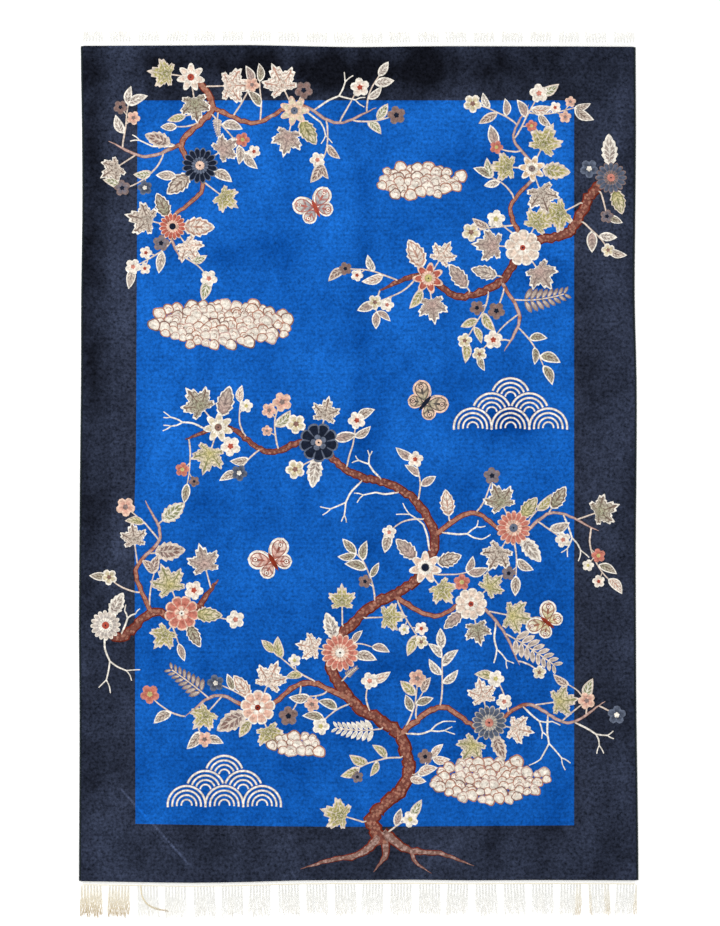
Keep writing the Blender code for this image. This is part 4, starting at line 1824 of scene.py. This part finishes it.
def make_stage():
    """A pale floor, soft studio light and a camera straight above."""
    scene = bpy.context.scene
    bm = bmesh.new()
    bmesh.ops.create_grid(bm, x_segments=1, y_segments=1, size=40.0)
    floor = mesh_from("studio_floor", bm)
    material, _ = new_material("matt_white_floor_paint", 0.9, 0.0, "#FFFFFF", 0.2)
    paint = material.node_tree.nodes["Principled BSDF"].inputs
    paint["Base Color"].default_value = linear("#FCFCFB")
    # The floor glows a little, so that it is as white at its edges as under the lamps
    paint["Emission Color"].default_value = linear("#FFFFFF")
    paint["Emission Strength"].default_value = 0.1
    floor.data.materials.append(material)

    world = bpy.data.worlds.new("studio")
    world.use_nodes = True
    sky = world.node_tree.nodes["Background"].inputs
    sky["Color"].default_value = linear("#FFFFFF")
    sky["Strength"].default_value = 0.68
    scene.world = world
    lamps = (
        # name, place, size, power
        ("overhead_softbox", (0.0, 0.4, 5.4), 5.0, 155.0),
        ("side_softbox", (-4.6, 2.4, 3.4), 3.0, 80.0),
    )
    for name, place, size, power in lamps:
        light = bpy.data.lights.new(name, "AREA")
        light.size = size
        light.energy = power
        lamp = bpy.data.objects.new(name, light)
        lamp.location = place
        lamp.rotation_euler = (-Vector(place)).to_track_quat("-Z", "Y").to_euler()
        scene.collection.objects.link(lamp)

    # Straight above, and so far away that the rug fills the picture from top to bottom
    camera = bpy.data.cameras.new("camera")
    camera.lens = 85.0
    camera.sensor_width = 36.0
    camera.clip_end = 60.0
    eye = bpy.data.objects.new("camera", camera)
    eye.location = (0.0056, middle_y() + 0.003, 7.193)
    scene.collection.objects.link(eye)
    scene.camera = eye
    scene.view_settings.view_transform = "Standard"
    scene.view_settings.look = "None"


# ---- Operators, panel and registration ----


class RUG_OT_back(bpy.types.Operator):
    """Weave the cotton back with its rows of knots"""

    bl_idname = "rug.weave_back"
    bl_label = "Weave back"

    def execute(self, context):
        make_back()
        return {"FINISHED"}


class RUG_OT_pile(bpy.types.Operator):
    """Knot and shear the pile of border and field, and the tufts at its rim"""

    bl_idname = "rug.knot_pile"
    bl_label = "Knot pile"

    def execute(self, context):
        make_pile()
        make_rim()
        return {"FINISHED"}


class RUG_OT_branches(bpy.types.Operator):
    """Draw the trunks, boughs and twigs"""

    bl_idname = "rug.draw_branches"
    bl_label = "Draw branches"

    def execute(self, context):
        make_branches()
        return {"FINISHED"}


class RUG_OT_leaves(bpy.types.Operator):
    """Lay the plain, lobed and feather leaves"""

    bl_idname = "rug.lay_leaves"
    bl_label = "Lay leaves"

    def execute(self, context):
        make_motifs("plain_leaves")
        make_motifs("vine_and_feather_leaves")
        return {"FINISHED"}


class RUG_OT_flowers(bpy.types.Operator):
    """Lay the blossoms, large flowers and butterflies"""

    bl_idname = "rug.lay_flowers"
    bl_label = "Lay flowers"

    def execute(self, context):
        make_motifs("flowers_and_butterflies")
        return {"FINISHED"}


class RUG_OT_clouds(bpy.types.Operator):
    """Lay the banks of cloud"""

    bl_idname = "rug.lay_clouds"
    bl_label = "Lay clouds"

    def execute(self, context):
        make_motifs("cloud_banks")
        return {"FINISHED"}


class RUG_OT_drawing_on_back(bpy.types.Operator):
    """Show the drawing on the back, in level knots"""

    bl_idname = "rug.draw_back"
    bl_label = "Draw back"

    def execute(self, context):
        make_drawing_on_back()
        return {"FINISHED"}


class RUG_OT_overcast(bpy.types.Operator):
    """Wind dark wool round both side cords"""

    bl_idname = "rug.overcast_sides"
    bl_label = "Overcast sides"

    def execute(self, context):
        make_overcast("left")
        make_overcast("right")
        return {"FINISHED"}


class RUG_OT_webs(bpy.types.Operator):
    """Weave the flat cotton web at both ends"""

    bl_idname = "rug.weave_webs"
    bl_label = "Weave webs"

    def execute(self, context):
        make_web("bottom")
        make_web("top")
        return {"FINISHED"}


class RUG_OT_fringes(bpy.types.Operator):
    """Hang the warp ends out as long and short fringes"""

    bl_idname = "rug.hang_fringes"
    bl_label = "Hang fringes"

    def execute(self, context):
        make_fringe("bottom")
        make_fringe("top")
        make_swept_lock()
        return {"FINISHED"}


class RUG_OT_lay(bpy.types.Operator):
    """Gather the finished pieces other than the back"""

    bl_idname = "rug.lay_down"
    bl_label = "Lay rug down"

    def execute(self, context):
        lay_down()
        return {"FINISHED"}


class RUG_OT_stage(bpy.types.Operator):
    """Set the floor, the lights and the camera"""

    bl_idname = "rug.set_stage"
    bl_label = "Set stage"

    def execute(self, context):
        make_stage()
        return {"FINISHED"}


STEPS = (
    RUG_OT_back,
    RUG_OT_pile,
    RUG_OT_branches,
    RUG_OT_leaves,
    RUG_OT_flowers,
    RUG_OT_clouds,
    RUG_OT_drawing_on_back,
    RUG_OT_overcast,
    RUG_OT_webs,
    RUG_OT_fringes,
    RUG_OT_lay,
    RUG_OT_stage,
)


class RUG_PT_steps(bpy.types.Panel):
    """The rug's steps, in order"""

    bl_idname = "RUG_PT_steps"
    bl_label = "Rug"
    bl_space_type = "VIEW_3D"
    bl_region_type = "UI"
    bl_category = "Rug"

    def draw(self, context):
        for step in STEPS:
            self.layout.operator(step.bl_idname)
        for group in (context.scene.rug_sizes, context.scene.rug_colours):
            for label in group.__annotations__:
                self.layout.prop(group, label)


CLASSES = (RugSizes, RugColours, *STEPS, RUG_PT_steps)


def register():
    for kind in CLASSES:
        bpy.utils.register_class(kind)
    bpy.types.Scene.rug_sizes = PointerProperty(type=RugSizes)
    bpy.types.Scene.rug_colours = PointerProperty(type=RugColours)


def unregister():
    del bpy.types.Scene.rug_colours
    del bpy.types.Scene.rug_sizes
    for kind in reversed(CLASSES):
        bpy.utils.unregister_class(kind)


def main():
    register()
    for step in STEPS:
        group, name = step.bl_idname.split(".")
        getattr(getattr(bpy.ops, group), name)()


if __name__ == "__main__":
    main()
